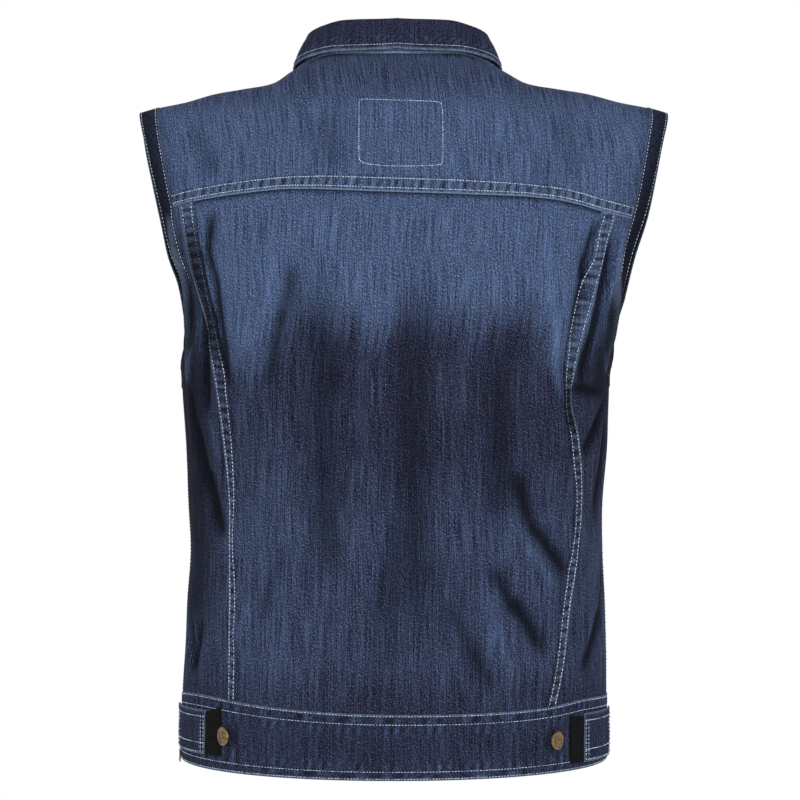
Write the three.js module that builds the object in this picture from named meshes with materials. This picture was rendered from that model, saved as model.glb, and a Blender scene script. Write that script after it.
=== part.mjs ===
// A denim vest, filled out as if it were worn, with nobody in it.
// Millimetres, +Z up. The front faces -Y and the wearer's left is +X.
// Heights are worked out from the hem, and the finished group is moved down at the end,
// so that the origin lies between the wearer's shoulders, where the vest is held up.
import * as THREE from 'three';
import { mergeVertices } from 'three/addons/utils/BufferGeometryUtils.js';

// Driving sizes
const underarmHeight = 365;
const archLength = 300;
const ringPower = 2.4;
const holdHeight = 612;
const holdDepth = 15;
const panelThickness = 1.5;
const bandThickness = 3.0;
const seamGap = 0.3;
const neckTurn = 21;
const backNeckAngle = 74;
const shoulderSeamAngle = 100;
const frontNeckAngle = 141.3;
const placketHalfWidth = 20;
const placketUnderlap = 2;
const placketOuterFace = 2.5;
const placketInnerFace = 3;
const frontNeckHeight = 560;
const felledRise = 0.9;

// Half width, sideways place and depth of the body at each height
const sections = [
  { z: 0, half: 196, centre: 5.5, back: 124, front: 126 },
  { z: 70, half: 195.5, centre: 5, back: 124, front: 126 },
  { z: 110, half: 193.8, centre: 4.2, back: 120, front: 123 },
  { z: 150, half: 192.5, centre: 3.8, back: 117, front: 122 },
  { z: 195, half: 190, centre: 3, back: 114, front: 122 },
  { z: 240, half: 191, centre: 4, back: 117, front: 126 },
  { z: 290, half: 194, centre: 3, back: 124, front: 131 },
  { z: 335, half: 196.3, centre: 3.8, back: 131, front: 135.3 },
  { z: 365, half: 198, centre: 3.5, back: 132, front: 136 },
  { z: 400, half: 205, centre: -1.2, back: 132, front: 136 },
  { z: 441, half: 214, centre: -3.2, back: 132, front: 136 },
  { z: 470, half: 224, centre: -1.5, back: 132, front: 136 },
  { z: 505, half: 235, centre: -3.3, back: 132, front: 136 },
  { z: 541, half: 244.8, centre: -3.5, back: 132, front: 136 },
  { z: 571, half: 252.5, centre: -3.4, back: 132, front: 136 },
  { z: 600, half: 260, centre: -3.2, back: 132, front: 136 },
  { z: 635, half: 264, centre: 2, back: 132, front: 136 },
  { z: 660, half: 265, centre: 4, back: 132, front: 136 },
];

// The ridge of the shoulders, by the turn from the middle of the body
const ridge = [
  { turn: 0, z: 655, y: 20 },
  { turn: 12, z: 652, y: 20 },
  { turn: 17, z: 645, y: 19.5 },
  { turn: 21, z: 635.5, y: 19 },
  { turn: 25, z: 625, y: 18 },
  { turn: 31, z: 620, y: 17 },
  { turn: 38, z: 615.5, y: 15 },
  { turn: 46, z: 608, y: 14 },
  { turn: 54.5, z: 603.5, y: 12 },
  { turn: 66, z: 597.5, y: 10 },
];

// The seam between yoke and back, by the turn from the middle of the back
const yokeSeam = [
  { turn: -65, z: 495.5 },
  { turn: -47, z: 503 },
  { turn: -32, z: 513.5 },
  { turn: -13, z: 517 },
  { turn: 0, z: 518.5 },
  { turn: 9, z: 520 },
  { turn: 25, z: 522 },
  { turn: 37, z: 518 },
  { turn: 54, z: 511 },
  { turn: 65, z: 504 },
];

// The long curved seams of the back, as distances from the middle
const sideSeams = [
  { z: 56, left: 152.5, right: -136 },
  { z: 98, left: 152.5, right: -145.5 },
  { z: 155, left: 152.3, right: -152.6 },
  { z: 191, left: 152, right: -159 },
  { z: 245, left: 152.2, right: -163 },
  { z: 299, left: 157.5, right: -159.5 },
  { z: 334, left: 162.2, right: -152.5 },
  { z: 378, left: 170.5, right: -159.8 },
  { z: 432, left: 182.6, right: -175.4 },
  { z: 470, left: 191, right: -184.8 },
  { z: 510, left: 198.5, right: -195.5 },
];

// Armhole: how far its edge reaches in from the side, and the rise of its round bottom
const armholeRise = 65;
const armholeTipTurn = 65;
const bandDepth = 22;
const bandInnerFace = 1.2;
const bandOuterFace = 1.4;
const bandTurn = 7.3;
const bandTipTurn = 54.3;
const yokeEndTurn = 57;
const armholeSweep = { back: 25, front: 14 };

// Largest folds: a straight run from one place to another on the cloth, by turn and height
const folds = [
  { turn0: 47, z0: 500, turn1: 46, z1: 400, width: 10, depth: -3.5 },
  { turn0: 62, z0: 470, turn1: 74, z1: 330, width: 9, depth: 3.5 },
  { turn0: 63, z0: 440, turn1: 60, z1: 300, width: 9, depth: -5 },
  { turn0: 77, z0: 350, turn1: 54, z1: 235, width: 10, depth: -4.5 },
  { turn0: 80, z0: 300, turn1: 62, z1: 210, width: 10, depth: 3 },
  { turn0: 66, z0: 160, turn1: 55, z1: 80, width: 11, depth: -3 },
  { turn0: 76, z0: 200, turn1: 60, z1: 130, width: 12, depth: 3 },
  { turn0: -38, z0: 485, turn1: -45, z1: 350, width: 9, depth: 3.5 },
  { turn0: -44, z0: 480, turn1: -51, z1: 330, width: 10, depth: -4 },
  { turn0: -75, z0: 345, turn1: -53, z1: 275, width: 11, depth: -5 },
  { turn0: -48, z0: 352, turn1: -62, z1: 318, width: 9, depth: 3.5 },
  { turn0: -60, z0: 470, turn1: -70, z1: 370, width: 9, depth: 3 },
  { turn0: -80, z0: 190, turn1: -60, z1: 80, width: 12, depth: -4 },
  { turn0: -72, z0: 240, turn1: -52, z1: 150, width: 12, depth: 3 },
  { turn0: -28, z0: 150, turn1: -38, z1: 70, width: 14, depth: -3 },
  { turn0: -22, z0: 160, turn1: -31, z1: 80, width: 13, depth: 2.5 },
  { turn0: -17, z0: 480, turn1: -14, z1: 180, width: 20, depth: 2 },
  { turn0: -4, z0: 470, turn1: -6, z1: 90, width: 22, depth: -2 },
  { turn0: 9, z0: 480, turn1: 8, z1: 150, width: 20, depth: 2 },
  { turn0: 22, z0: 470, turn1: 20, z1: 100, width: 20, depth: -2 },
  { turn0: 33, z0: 430, turn1: 34, z1: 120, width: 18, depth: 2 },
  { turn0: -30, z0: 400, turn1: -32, z1: 170, width: 16, depth: -2 },
  { turn0: 106, z0: 420, turn1: 120, z1: 270, width: 12, depth: -4 },
  { turn0: 98, z0: 330, turn1: 122, z1: 200, width: 14, depth: 3.5 },
  { turn0: 128, z0: 440, turn1: 136, z1: 250, width: 16, depth: 3 },
  { turn0: 146, z0: 430, turn1: 150, z1: 130, width: 18, depth: -3 },
  { turn0: 112, z0: 190, turn1: 128, z1: 80, width: 13, depth: -3.5 },
  { turn0: 161, z0: 400, turn1: 163, z1: 160, width: 16, depth: 2 },
  { turn0: -104, z0: 430, turn1: -118, z1: 280, width: 12, depth: -4 },
  { turn0: -96, z0: 320, turn1: -121, z1: 190, width: 14, depth: 3.5 },
  { turn0: -127, z0: 450, turn1: -134, z1: 240, width: 16, depth: 3 },
  { turn0: -147, z0: 440, turn1: -149, z1: 120, width: 18, depth: -3 },
  { turn0: -110, z0: 200, turn1: -129, z1: 85, width: 13, depth: -3.5 },
  { turn0: -162, z0: 390, turn1: -164, z1: 170, width: 16, depth: 2 },
];
const girthPerDegree = 2.9;

// Collar: height of the stand, how far it leans in, and how far the leaf spreads and falls
const collarSections = [
  { run: 0, stand: 29, lean: 8, turn: 0, fall: -4.5, off: 6 },
  { run: 0.22, stand: 28.5, lean: 12, turn: 0.6, fall: -3.5, off: 5 },
  { run: 0.42, stand: 35, lean: 17, turn: -0.6, fall: 2, off: 3.8 },
  { run: 0.52, stand: 31, lean: 16, turn: 0.4, fall: 4, off: 3.8 },
  { run: 0.65, stand: 27, lean: 13, turn: 5.5, fall: 5, off: 4 },
  { run: 0.8, stand: 23, lean: 9, turn: 9.5, fall: 9, off: 4.2 },
  { run: 0.98, stand: 20, lean: 6, turn: 10, fall: 13, off: 4.2 },
];
const collarThickness = 2.4;
const collarRollRadius = 3.6;
const collarSeat = 1.9;
const neckShare = 0.42;

// Waistband, adjusters and buttons
const waistLine = [
  { turn: -90, z: 64 },
  { turn: -77, z: 63.5 },
  { turn: -65, z: 64.6 },
  { turn: -54, z: 64.4 },
  { turn: -43, z: 60.6 },
  { turn: -30, z: 57.8 },
  { turn: -12, z: 56.4 },
  { turn: 8, z: 56.8 },
  { turn: 26, z: 60 },
  { turn: 40, z: 64 },
  { turn: 50, z: 67.2 },
  { turn: 60, z: 68.4 },
  { turn: 72, z: 67.2 },
  { turn: 82, z: 65 },
  { turn: 90, z: 64 },
];
const waistTopMiddle = 56;
const waistTopRise = 8;
const overlapTurn = 5.9;
const overlapLift = 1.75;
const hemMiddle = -2.3;
const hemRise = 6.3;
const adjusters = [
  { name: 'left', button: 45.2, buttonHeight: 34, strapStart: 48, strapEnd: 54.4,
    strapLow: 15, strapHigh: 59, cornerDrop: 6, tabEnd: 82, low: 16, high: 58 },
  { name: 'right', button: -42.6, buttonHeight: 31, strapStart: -49, strapEnd: -54.9,
    strapLow: 8, strapHigh: 51, cornerDrop: 2, tabEnd: -82, low: 8, high: 52 },
];
const adjusterTilt = 22;
const tabThickness = 1.8;
const strapThickness = 1.5;
const hemTag = { start: 80, end: 98, low: 0.5, high: 12, thickness: 1.5 };
const buttonRadius = 8.5;
const frontButtonCount = 5;

const radians = THREE.MathUtils.degToRad;
const lerp = THREE.MathUtils.lerp;

// A smooth curve through one column of a table, and straight on past its ends
function along(table, key, column, at) {
  let i = 0;
  while (i < table.length - 2 && at > table[i + 1][key]) i += 1;
  const slope = (k) => {
    const low = table[Math.max(k - 1, 0)];
    const high = table[Math.min(k + 1, table.length - 1)];
    return (high[column] - low[column]) / (high[key] - low[key]);
  };
  const start = table[i];
  const end = table[i + 1];
  if (at <= table[0][key]) return table[0][column];
  if (at >= end[key]) return end[column];
  const span = end[key] - start[key];
  const t = (at - start[key]) / span;
  const startPart = (1 + 2 * t) * (1 - t) ** 2 * start[column] + t * (1 - t) ** 2 * span * slope(i);
  return startPart + t * t * (3 - 2 * t) * end[column] - t * t * (1 - t) * span * slope(i + 1);
}

// Rounded square: how far it lies out at an angle, and the angle at which one side is reached
function bulge(angle) {
  const side = Math.abs(Math.sin(angle)) ** ringPower;
  const face = Math.abs(Math.cos(angle)) ** ringPower;
  return (side + face) ** (-1 / ringPower);
}

function angleForShare(share) {
  const part = Math.min(Math.abs(share), 0.9999) ** ringPower;
  const angle = Math.atan((part / (1 - part)) ** (1 / ringPower));
  return THREE.MathUtils.radToDeg(angle) * Math.sign(share);
}

function turnAt(x, z) {
  return angleForShare((x - along(sections, 'z', 'centre', z)) / along(sections, 'z', 'half', z));
}

// The reach counts up the back, over the shoulder and down the front
const reachEnd = 2 * (underarmHeight + archLength);

function reachBack(turn, z) {
  if (z <= underarmHeight) return z;
  const share = (z - underarmHeight) / (along(ridge, 'turn', 'z', Math.abs(turn)) - underarmHeight);
  return underarmHeight + (archLength * angleForShare(share)) / 90;
}

function reachFront(turn, z) {
  return reachEnd - reachBack(turn, z);
}

function reachAtAngle(angle) {
  return underarmHeight + (archLength * angle) / 90;
}

// The smooth form of the whole vest before its folds
function form(turn, reach) {
  const low = Math.min(reach, reachEnd - reach);
  const arched = low > underarmHeight;
  const facing = reach > reachEnd / 2 ? -1 : 1;
  const u = radians(turn);
  const ringX = Math.sin(u) * bulge(u);
  const ringY = Math.cos(u) * bulge(u);
  if (!arched) {
    const half = along(sections, 'z', 'half', low);
    const depth = along(sections, 'z', ringY * facing > 0 ? 'back' : 'front', low);
    return new THREE.Vector3(
      along(sections, 'z', 'centre', low) + half * ringX, depth * ringY * facing, low);
  }
  const angle = radians(((reach - underarmHeight) * 90) / archLength);
  const column = Math.abs(turn);
  const top = along(ridge, 'turn', 'z', column);
  const ridgeY = along(ridge, 'turn', 'y', column);
  const z = underarmHeight + (top - underarmHeight) * Math.sin(angle) * bulge(angle);
  const depth = along(sections, 'z', facing > 0 ? 'back' : 'front', underarmHeight);
  const foot = depth * ringY * facing;
  const y = ridgeY + Math.abs(Math.cos(angle)) * bulge(angle) * (foot - ridgeY);
  const half = along(sections, 'z', 'half', z);
  return new THREE.Vector3(along(sections, 'z', 'centre', z) + half * ringX, y, z);
}

function outward(shape, a, b, step) {
  const acrossA = shape(a + step, b).sub(shape(a - step, b));
  const acrossB = shape(a, b + step).sub(shape(a, b - step));
  return acrossB.cross(acrossA).normalize();
}

function foldDepth(turn, z) {
  const settle = THREE.MathUtils.smoothstep(z, 62, 100);
  let depth = 0;
  for (const fold of folds) {
    const runX = (fold.turn1 - fold.turn0) * girthPerDegree;
    const runZ = fold.z1 - fold.z0;
    const x = (turn - fold.turn0) * girthPerDegree;
    const length = Math.hypot(runX, runZ);
    const t = (x * runX + (z - fold.z0) * runZ) / length ** 2;
    if (t <= 0 || t >= 1) continue;
    const across = (x * runZ - (z - fold.z0) * runX) / length;
    depth += fold.depth * Math.exp(-((across / fold.width) ** 2)) * (1 - (2 * t - 1) ** 2) ** 2;
  }
  return depth * settle;
}

// The cloth itself: the form with its folds
function cloth(turn, reach) {
  const point = form(turn, reach);
  const front = reach > reachEnd / 2;
  const around = front ? 180 * (turn < 0 ? -1 : 1) - turn : turn;
  const depth = foldDepth(around, point.z);
  return point.addScaledVector(outward(form, turn, reach, 0.4), depth);
}

function steps(from, to, count) {
  return Array.from({ length: count + 1 }, (_, i) => lerp(from, to, i / count));
}

// A closed wall over a patch of a surface. surface(a, b) gives a point and the way out there,
// and inner(a, b) and outer(a, b) give how far the two faces stand from that point.
// With closed set, the last place of a joins the first, as in a ring.
function wall(surface, as, bs, inner, outer, closed = false) {
  const positions = [];
  for (const face of [inner, outer]) {
    for (const b of bs) {
      for (const a of as) {
        const { point, normal } = surface(a, b);
        positions.push(...point.clone().addScaledVector(normal, face(a, b)).toArray());
      }
    }
  }
  const across = as.length;
  const layer = across * bs.length;
  const top = (bs.length - 1) * across;
  const spans = closed ? across : across - 1;
  const index = [];
  const quad = (p, q, r, s) => index.push(p, q, r, p, r, s);
  const rim = (p, q) => quad(p, p + layer, q + layer, q);
  for (let i = 0; i < spans; i += 1) {
    const next = (i + 1) % across;
    for (let row = 0; row < top; row += across) {
      const [p, q, r, s] = [row + i, row + next, row + across + next, row + across + i];
      quad(p, q, r, s);
      quad(layer + s, layer + r, layer + q, layer + p);
    }
    rim(i, next);
    rim(top + next, top + i);
  }
  if (!closed) {
    for (let row = 0; row < top; row += across) {
      rim(row + across, row);
      rim(row + across - 1, row + 2 * across - 1);
    }
  }
  return outsideOut(positions, index);
}

// A patch of the cloth, from where place(a, b) puts each of its points
function onCloth(place) {
  return (a, b) => {
    const [turn, reach] = place(a, b);
    return { point: cloth(turn, reach), normal: outward(cloth, turn, reach, 0.4) };
  };
}

// The faces of a closed body are turned so that they point out
function outsideOut(positions, index) {
  const corner = (i) => new THREE.Vector3().fromArray(positions, index[i] * 3);
  let volume = 0;
  for (let i = 0; i < index.length; i += 3) {
    volume += corner(i).dot(corner(i + 1).cross(corner(i + 2)));
  }
  const order = volume > 0 ? index : index.slice().reverse();
  const geometry = new THREE.BufferGeometry();
  geometry.setAttribute('position', new THREE.Float32BufferAttribute(positions, 3));
  geometry.setIndex(order);
  geometry.computeVertexNormals();
  return geometry;
}

const even = (distance) => () => distance;
const vest = new THREE.Group();
vest.name = 'denim_vest';

function add(name, geometry, color, roughness, metalness) {
  const material = new THREE.MeshStandardMaterial({ color, roughness, metalness });
  const mesh = new THREE.Mesh(geometry, material);
  mesh.name = name;
  vest.add(mesh);
}

const denim = (name, geometry, color) => add(name, geometry, color, 0.9, 0);

// Boundary lines that neighbouring pieces share
function waistTop(turn) {
  if (Math.abs(turn) < 90) return along(waistLine, 'turn', 'z', turn);
  return waistTopMiddle + waistTopRise * Math.sin(radians(turn)) ** 2;
}

function hem(turn) {
  return hemMiddle + hemRise * Math.sin(radians(turn)) ** 2;
}

function armholeBand(face) {
  const sweep = armholeSweep[face];
  const lowest = underarmHeight - bandDepth;
  const top = reachAtAngle(shoulderSeamAngle);
  const toReach = face === 'back' ? reachBack : reachFront;
  const lastRise = toReach(90 - sweep, underarmHeight + armholeRise);
  const bottom = (around) => {
    const out = Math.sin(radians(around));
    const up = 1 - Math.cos(radians(around));
    return {
      edge: [90 - sweep * out, underarmHeight + armholeRise * up],
      inner: [90 - (sweep + bandTurn) * out, lowest + (bandDepth + armholeRise) * up],
    };
  };
  const side = (share) => {
    const reach = lerp(lastRise, top, share);
    return {
      edge: [lerp(90 - sweep, armholeTipTurn, share), reach],
      inner: [lerp(90 - sweep - bandTurn, bandTipTurn, share), reach],
    };
  };
  return { bottom, side, toReach, lastRise, top, lowest };
}

const bands = { back: armholeBand('back'), front: armholeBand('front') };

// The inner line of an armhole band at a height below the round end, then at a reach above it
function innerTurn(face, z) {
  const band = bands[face];
  if (z <= band.lowest) return 90;
  const up = (z - band.lowest) / (bandDepth + armholeRise);
  if (up >= 1) return 90 - armholeSweep[face] - bandTurn;
  const around = Math.acos(1 - up);
  return 90 - (armholeSweep[face] + bandTurn) * Math.sin(around);
}

const bottomAngles = steps(0, 90, 6);
const lowRows = steps(0, 1, 11);
const roundRows = bottomAngles.map((around) => {
  const up = 1 - Math.cos(radians(around));
  return underarmHeight - bandDepth + (bandDepth + armholeRise) * up;
});
const half = seamGap / 2;
const gapTurn = half / girthPerDegree;

// Back yoke: from the seam across the back, over the ridge, to the seam in front of it
function neckline(turn) {
  const out = Math.min(Math.abs(turn) / neckTurn, 1);
  return lerp(shoulderSeamAngle, backNeckAngle, Math.sqrt(1 - out * out));
}

function frontNeckline(turn) {
  const out = Math.min(Math.abs(turn) / neckTurn, 1);
  return lerp(shoulderSeamAngle, frontNeckAngle, Math.sqrt(1 - out * out));
}

const neckColumns = [0, 0.26, 0.5, 0.71, 0.87, 0.966, 1].map((share) => share * neckTurn);
const shoulderColumns = steps(neckTurn, bandTipTurn, 7).slice(1);
const topTurns = [...neckColumns, ...shoulderColumns];
const mirrored = (turns) => [...turns.slice(1).reverse().map((turn) => -turn), ...turns];

const yokeSeamReach = (turn) => reachBack(turn, along(yokeSeam, 'turn', 'z', turn));
const backBandTurn = (reach) => {
  const band = bands.back;
  return lerp(90 - armholeSweep.back - bandTurn, bandTipTurn,
    (reach - band.lastRise) / (band.top - band.lastRise));
};

function placeYoke(turn, rise) {
  const share = Math.abs(turn) / bandTipTurn;
  const side = Math.sign(turn);
  const topReach = reachAtAngle(neckline(turn)) - half;
  const corner = backBandTurn(yokeSeamReach(side * yokeEndTurn)) - gapTurn;
  const footTurn = side * share * corner;
  const footReach = yokeSeamReach(footTurn) + half;
  const reach = lerp(footReach, topReach, rise);
  const spread = side * share * (backBandTurn(reach) - gapTurn);
  return [spread, reach];
}

const yokeRises = [0, 0.032, 0.04, 0.14, 0.26, 0.38, 0.5, 0.62, 0.74, 0.84, 0.92, 1];
denim('yoke', wall(onCloth(placeYoke), mirrored(topTurns), yokeRises,
  even(-panelThickness / 2),
  (turn, rise) => panelThickness / 2 + (rise < 0.036 ? felledRise : 0)), 0x4b648c);

// Back panel between the two long seams
function seamTurn(side, z) {
  return turnAt(along(sideSeams, 'z', side, z), z);
}

// Rows of the back: even ones up to the underarm, those of its round end, then up to the yoke
const backRows = [
  ...lowRows.map((row) => ({ part: 'low', row })),
  ...roundRows.slice(1).map((z) => ({ part: 'round', row: z })),
  ...steps(0, 1, 4).slice(1).map((row) => ({ part: 'high', row })),
];

function backReach(turn, row) {
  if (row.part === 'low') return lerp(waistTop(turn) + half, bands.back.lowest, row.row);
  if (row.part === 'round') return reachBack(turn, row.row);
  const lower = reachBack(turn, underarmHeight + armholeRise);
  return lerp(lower, yokeSeamReach(turn) - half, row.row);
}

function backHeight(turn, row) {
  return form(turn, backReach(turn, row)).z;
}

function placeBack(share, rowIndex) {
  const row = backRows[rowIndex];
  const guess = backHeight(40, row);
  const left = seamTurn('left', guess) - gapTurn;
  const right = seamTurn('right', guess) + gapTurn;
  const turn = lerp(right, left, share);
  return [turn, backReach(turn, row)];
}

const backShares = [0, 0.027, 0.033, ...steps(0.075, 0.925, 18), 0.967, 0.973, 1];
const rowNumbers = backRows.map((row, i) => i);
denim('back_panel', wall(onCloth(placeBack), backShares, rowNumbers,
  even(-panelThickness / 2),
  (share) => panelThickness / 2 + (share < 0.03 || share > 0.97 ? felledRise : 0)), 0x39465f);

// Side back panels, from a long seam to the side seam and the armhole band
function placeSideBack(sign) {
  return (share, rowIndex) => {
    const row = backRows[rowIndex];
    const guess = backHeight(40, row);
    const seam = Math.abs(seamTurn(sign > 0 ? 'left' : 'right', guess)) + gapTurn;
    let outer = row.part === 'low' ? 90 : innerTurn('back', guess);
    if (row.part === 'high') {
      const corner = backBandTurn(yokeSeamReach(sign * yokeEndTurn));
      outer = lerp(90 - armholeSweep.back - bandTurn, corner, row.row);
    }
    const turn = sign * lerp(seam, outer - gapTurn, share);
    return [turn, backReach(turn, row)];
  };
}

for (const [side, sign] of [['left', 1], ['right', -1]]) {
  denim(`side_back_${side}`, wall(onCloth(placeSideBack(sign)), steps(0, 1, 8), rowNumbers,
    even(-panelThickness / 2), even(panelThickness / 2)), 0x2b3550);
}

// Fronts, from the placket to the side seam and the armhole band
const frontRows = [
  ...lowRows.map((row) => ({ part: 'low', row })),
  ...bottomAngles.slice(1).map((around) => ({ part: 'round', row: around })),
  ...steps(0, 1, 6).slice(1).map((row) => ({ part: 'high', row })),
];

function frontSide(row) {
  const band = bands.front;
  if (row.part === 'low') {
    return [90, reachEnd - lerp(waistTop(90) + half, band.lowest, row.row)];
  }
  if (row.part === 'round') {
    const [turn, z] = band.bottom(row.row).inner;
    return [turn, reachFront(turn, z)];
  }
  const [turn, reach] = band.side(row.row).inner;
  return [turn, reach];
}

function placketTurn(z, edge) {
  return angleForShare(edge / along(sections, 'z', 'half', z));
}

function placeFront(sign, edge) {
  const sideFoot = frontSide(frontRows[0])[1];
  const sideTop = frontSide(frontRows[frontRows.length - 1])[1];
  return (topTurn, rowIndex) => {
    const [sideTurn, sideReach] = frontSide(frontRows[rowIndex]);
    const rise = (sideReach - sideFoot) / (sideTop - sideFoot);
    const edgeTop = placketTurn(frontNeckHeight, edge);
    const share = (topTurn - edgeTop) / (bandTipTurn - edgeTop);
    const topReach = reachAtAngle(frontNeckline(topTurn)) + half;
    const footTurn = lerp(placketTurn(60, edge), 90, share);
    const footReach = reachEnd - waistTop(180 - footTurn) - half;
    const reach = lerp(footReach, topReach, rise);
    const z = form(topTurn, reach).z;
    const inner = placketTurn(z, edge) + gapTurn;
    const turn = lerp(inner, sideTurn - gapTurn, share);
    return [sign * turn, reach];
  };
}

const frontRowNumbers = frontRows.map((row, i) => i);
const frontEdges = { left: placketHalfWidth, right: placketHalfWidth + placketUnderlap };
for (const [side, sign] of [['left', 1], ['right', -1]]) {
  const edgeTop = placketTurn(frontNeckHeight, frontEdges[side]);
  const turns = [edgeTop, ...topTurns.filter((turn) => turn > edgeTop + 2)];
  denim(`front_${side}`, wall(onCloth(placeFront(sign, frontEdges[side])), turns, frontRowNumbers,
    even(-panelThickness / 2), even(panelThickness / 2)), 0x33415e);
}

// Button placket: the left strip lies over the right one
function placePlacket(x, rise) {
  const foot = waistTopMiddle + half;
  const top = reachAtAngle(frontNeckline(placketTurn(frontNeckHeight, x))) + half;
  const reach = lerp(reachEnd - foot, top, rise);
  return [placketTurn(form(0, reach).z, x), reach];
}

const placketRises = steps(0, 1, 16);
denim('placket_left', wall(onCloth(placePlacket),
  [-placketHalfWidth, -10, 0, 10, placketHalfWidth - seamGap], placketRises,
  even(-half), even(placketOuterFace)), 0x36445f);
denim('placket_right', wall(onCloth(placePlacket),
  [-placketHalfWidth - placketUnderlap + seamGap, -10, 4, placketHalfWidth - placketUnderlap],
  placketRises, even(-placketInnerFace), even(-half - seamGap)), 0x36445f);

// Waistband: the back, and one front piece on each side with the left end over the right one
function placeWaist(turn, rise) {
  return [turn, lerp(hem(turn), waistTop(turn) - half, rise)];
}

// Where the two ends meet in front, the left one is lifted out and the right one is pressed in
function waistLift(sign) {
  return (turn) => sign * overlapLift * THREE.MathUtils.smoothstep(Math.abs(turn), 160, 171);
}

const waistRises = [0, 0.13, 0.5, 0.87, 1];
denim('waistband_back', wall(onCloth(placeWaist), steps(-90 + gapTurn, 90 - gapTurn, 44), waistRises,
  even(-bandThickness / 2), even(bandThickness / 2)), 0x2d3850);

for (const [side, sign] of [['left', 1], ['right', -1]]) {
  const lift = waistLift(sign);
  const end = sign > 0 ? 180 + overlapTurn : 180 + overlapTurn - 1;
  const turns = [...steps(90 + gapTurn, 160, 10), 163.5, 167.5, 171.5, 176, end]
    .map((turn) => sign * turn);
  denim(`waistband_${side}`, wall(onCloth(placeWaist), turns, waistRises,
    (turn) => lift(turn) - bandThickness / 2,
    (turn) => lift(turn) + bandThickness / 2), 0x2d3850);
}

// Armhole bands: all round the opening, from the underarm up the back and down the front
function bandStation(face, station) {
  if (station.part === 'round') {
    const at = bands[face].bottom(station.row);
    const lift = (point) => [point[0], bands[face].toReach(point[0], point[1])];
    return { edge: lift(at.edge), inner: lift(at.inner) };
  }
  return bands[face].side(station.row);
}

// The band's places match the rows of the yoke and panels beside it
function bandStations(sign) {
  const band = bands.back;
  const seam = yokeSeamReach(sign * yokeEndTurn);
  const besidePanel = steps(band.lastRise, seam - half, 4).slice(1);
  const besideYoke = yokeRises.filter((rise) => rise === 0 || rise > 0.1)
    .map((rise) => lerp(seam + half, band.top - half, rise));
  const high = [...besidePanel, ...besideYoke]
    .map((reach) => (reach - band.lastRise) / (band.top - band.lastRise));
  const frontHigh = steps(0, 1, 6).slice(1, -1).reverse();
  return [
    ...bottomAngles.map((row) => bandStation('back', { part: 'round', row })),
    ...high.map((row) => bandStation('back', { part: 'high', row })),
    ...frontHigh.map((row) => bandStation('front', { part: 'high', row })),
    ...bottomAngles.slice(1).reverse().map((row) => bandStation('front', { part: 'round', row })),
  ];
}

function placeBand(sign) {
  const stations = bandStations(sign);
  return (number, share) => {
    const { inner, edge } = stations[number];
    const seam = share === 0 ? half : 0;
    const upright = inner[1] < underarmHeight ? seam : 0;
    const hanging = reachEnd - inner[1] < underarmHeight ? -seam : 0;
    const turn = lerp(inner[0], edge[0], share) + seam / girthPerDegree;
    return [sign * turn, lerp(inner[1], edge[1], share) + upright + hanging];
  };
}

for (const [side, sign] of [['left', 1], ['right', -1]]) {
  const stationNumbers = bandStations(sign).map((station, i) => i);
  denim(`armhole_band_${side}`, wall(onCloth(placeBand(sign)), stationNumbers, [0, 0.5, 1],
    even(-bandInnerFace), even(bandOuterFace), true), 0x2a3246);
}

// Collar: the stand rises from the neckline, rolls over and falls as a leaf
function neckPlace(run) {
  const side = Math.sign(run) || 1;
  const size = Math.abs(run);
  if (size <= neckShare) {
    const around = (size / neckShare) * 90;
    const turn = neckTurn * Math.sin(radians(around));
    return { side, turn, angle: neckline(turn) };
  }
  const around = ((size - neckShare) / (1 - neckShare)) * 90;
  const turn = neckTurn * Math.cos(radians(around));
  return { side, turn, angle: lerp(shoulderSeamAngle, frontNeckAngle, Math.sin(radians(around))) };
}

function collarShape(run, rise) {
  const neck = neckPlace(run);
  const at = (column) => along(collarSections, 'run', column, Math.abs(run));
  const foot = cloth(neck.side * neck.turn, reachAtAngle(neck.angle));
  const away = new THREE.Vector3(foot.x, foot.y + 10, 0).normalize();
  const up = new THREE.Vector3(0, 0, at('stand')).addScaledVector(away, -at('lean'));
  const roll = foot.clone().add(up);
  const seat = foot.clone().addScaledVector(up, collarSeat / up.length());
  const leafPlace = [neck.side * (neck.turn + at('turn')), reachAtAngle(neck.angle + at('fall'))];
  const leaf = cloth(...leafPlace).addScaledVector(outward(cloth, ...leafPlace, 0.4), at('off'));
  const inside = roll.clone().addScaledVector(away, -collarRollRadius);
  const outside = roll.clone().addScaledVector(away, collarRollRadius);
  if (rise <= 1) return seat.lerp(inside, rise);
  if (rise >= 2) {
    const t = rise - 2;
    const belly = outside.clone().lerp(leaf, 0.5).addScaledVector(away, 2.5).add(
      new THREE.Vector3(0, 0, 1.5));
    return outside.multiplyScalar((1 - t) ** 2).addScaledVector(belly, 2 * t * (1 - t))
      .addScaledVector(leaf, t * t);
  }
  const around = radians(180 * (2 - rise));
  return roll.addScaledVector(away, collarRollRadius * Math.cos(around))
    .add(new THREE.Vector3(0, 0, collarRollRadius * Math.sin(around)));
}

function onCollar(run, rise) {
  const alongRun = collarShape(run + 0.004, rise).sub(collarShape(run - 0.004, rise));
  const alongRise = collarShape(run, rise + 0.01).sub(collarShape(run, rise - 0.01));
  return { point: collarShape(run, rise), normal: alongRise.cross(alongRun).normalize() };
}

const collarRuns = [...steps(-0.98, -neckShare, 7), ...steps(-neckShare, neckShare, 12).slice(1, -1),
  ...steps(neckShare, 0.98, 7)];
const collarRises = [0, 0.5, 1, 1.33, 1.67, 2, 2.33, 2.67, 3];
denim('collar', wall(onCollar, collarRuns, collarRises, even(-collarThickness / 2),
  even(collarThickness / 2)), 0x232b3c);

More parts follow.
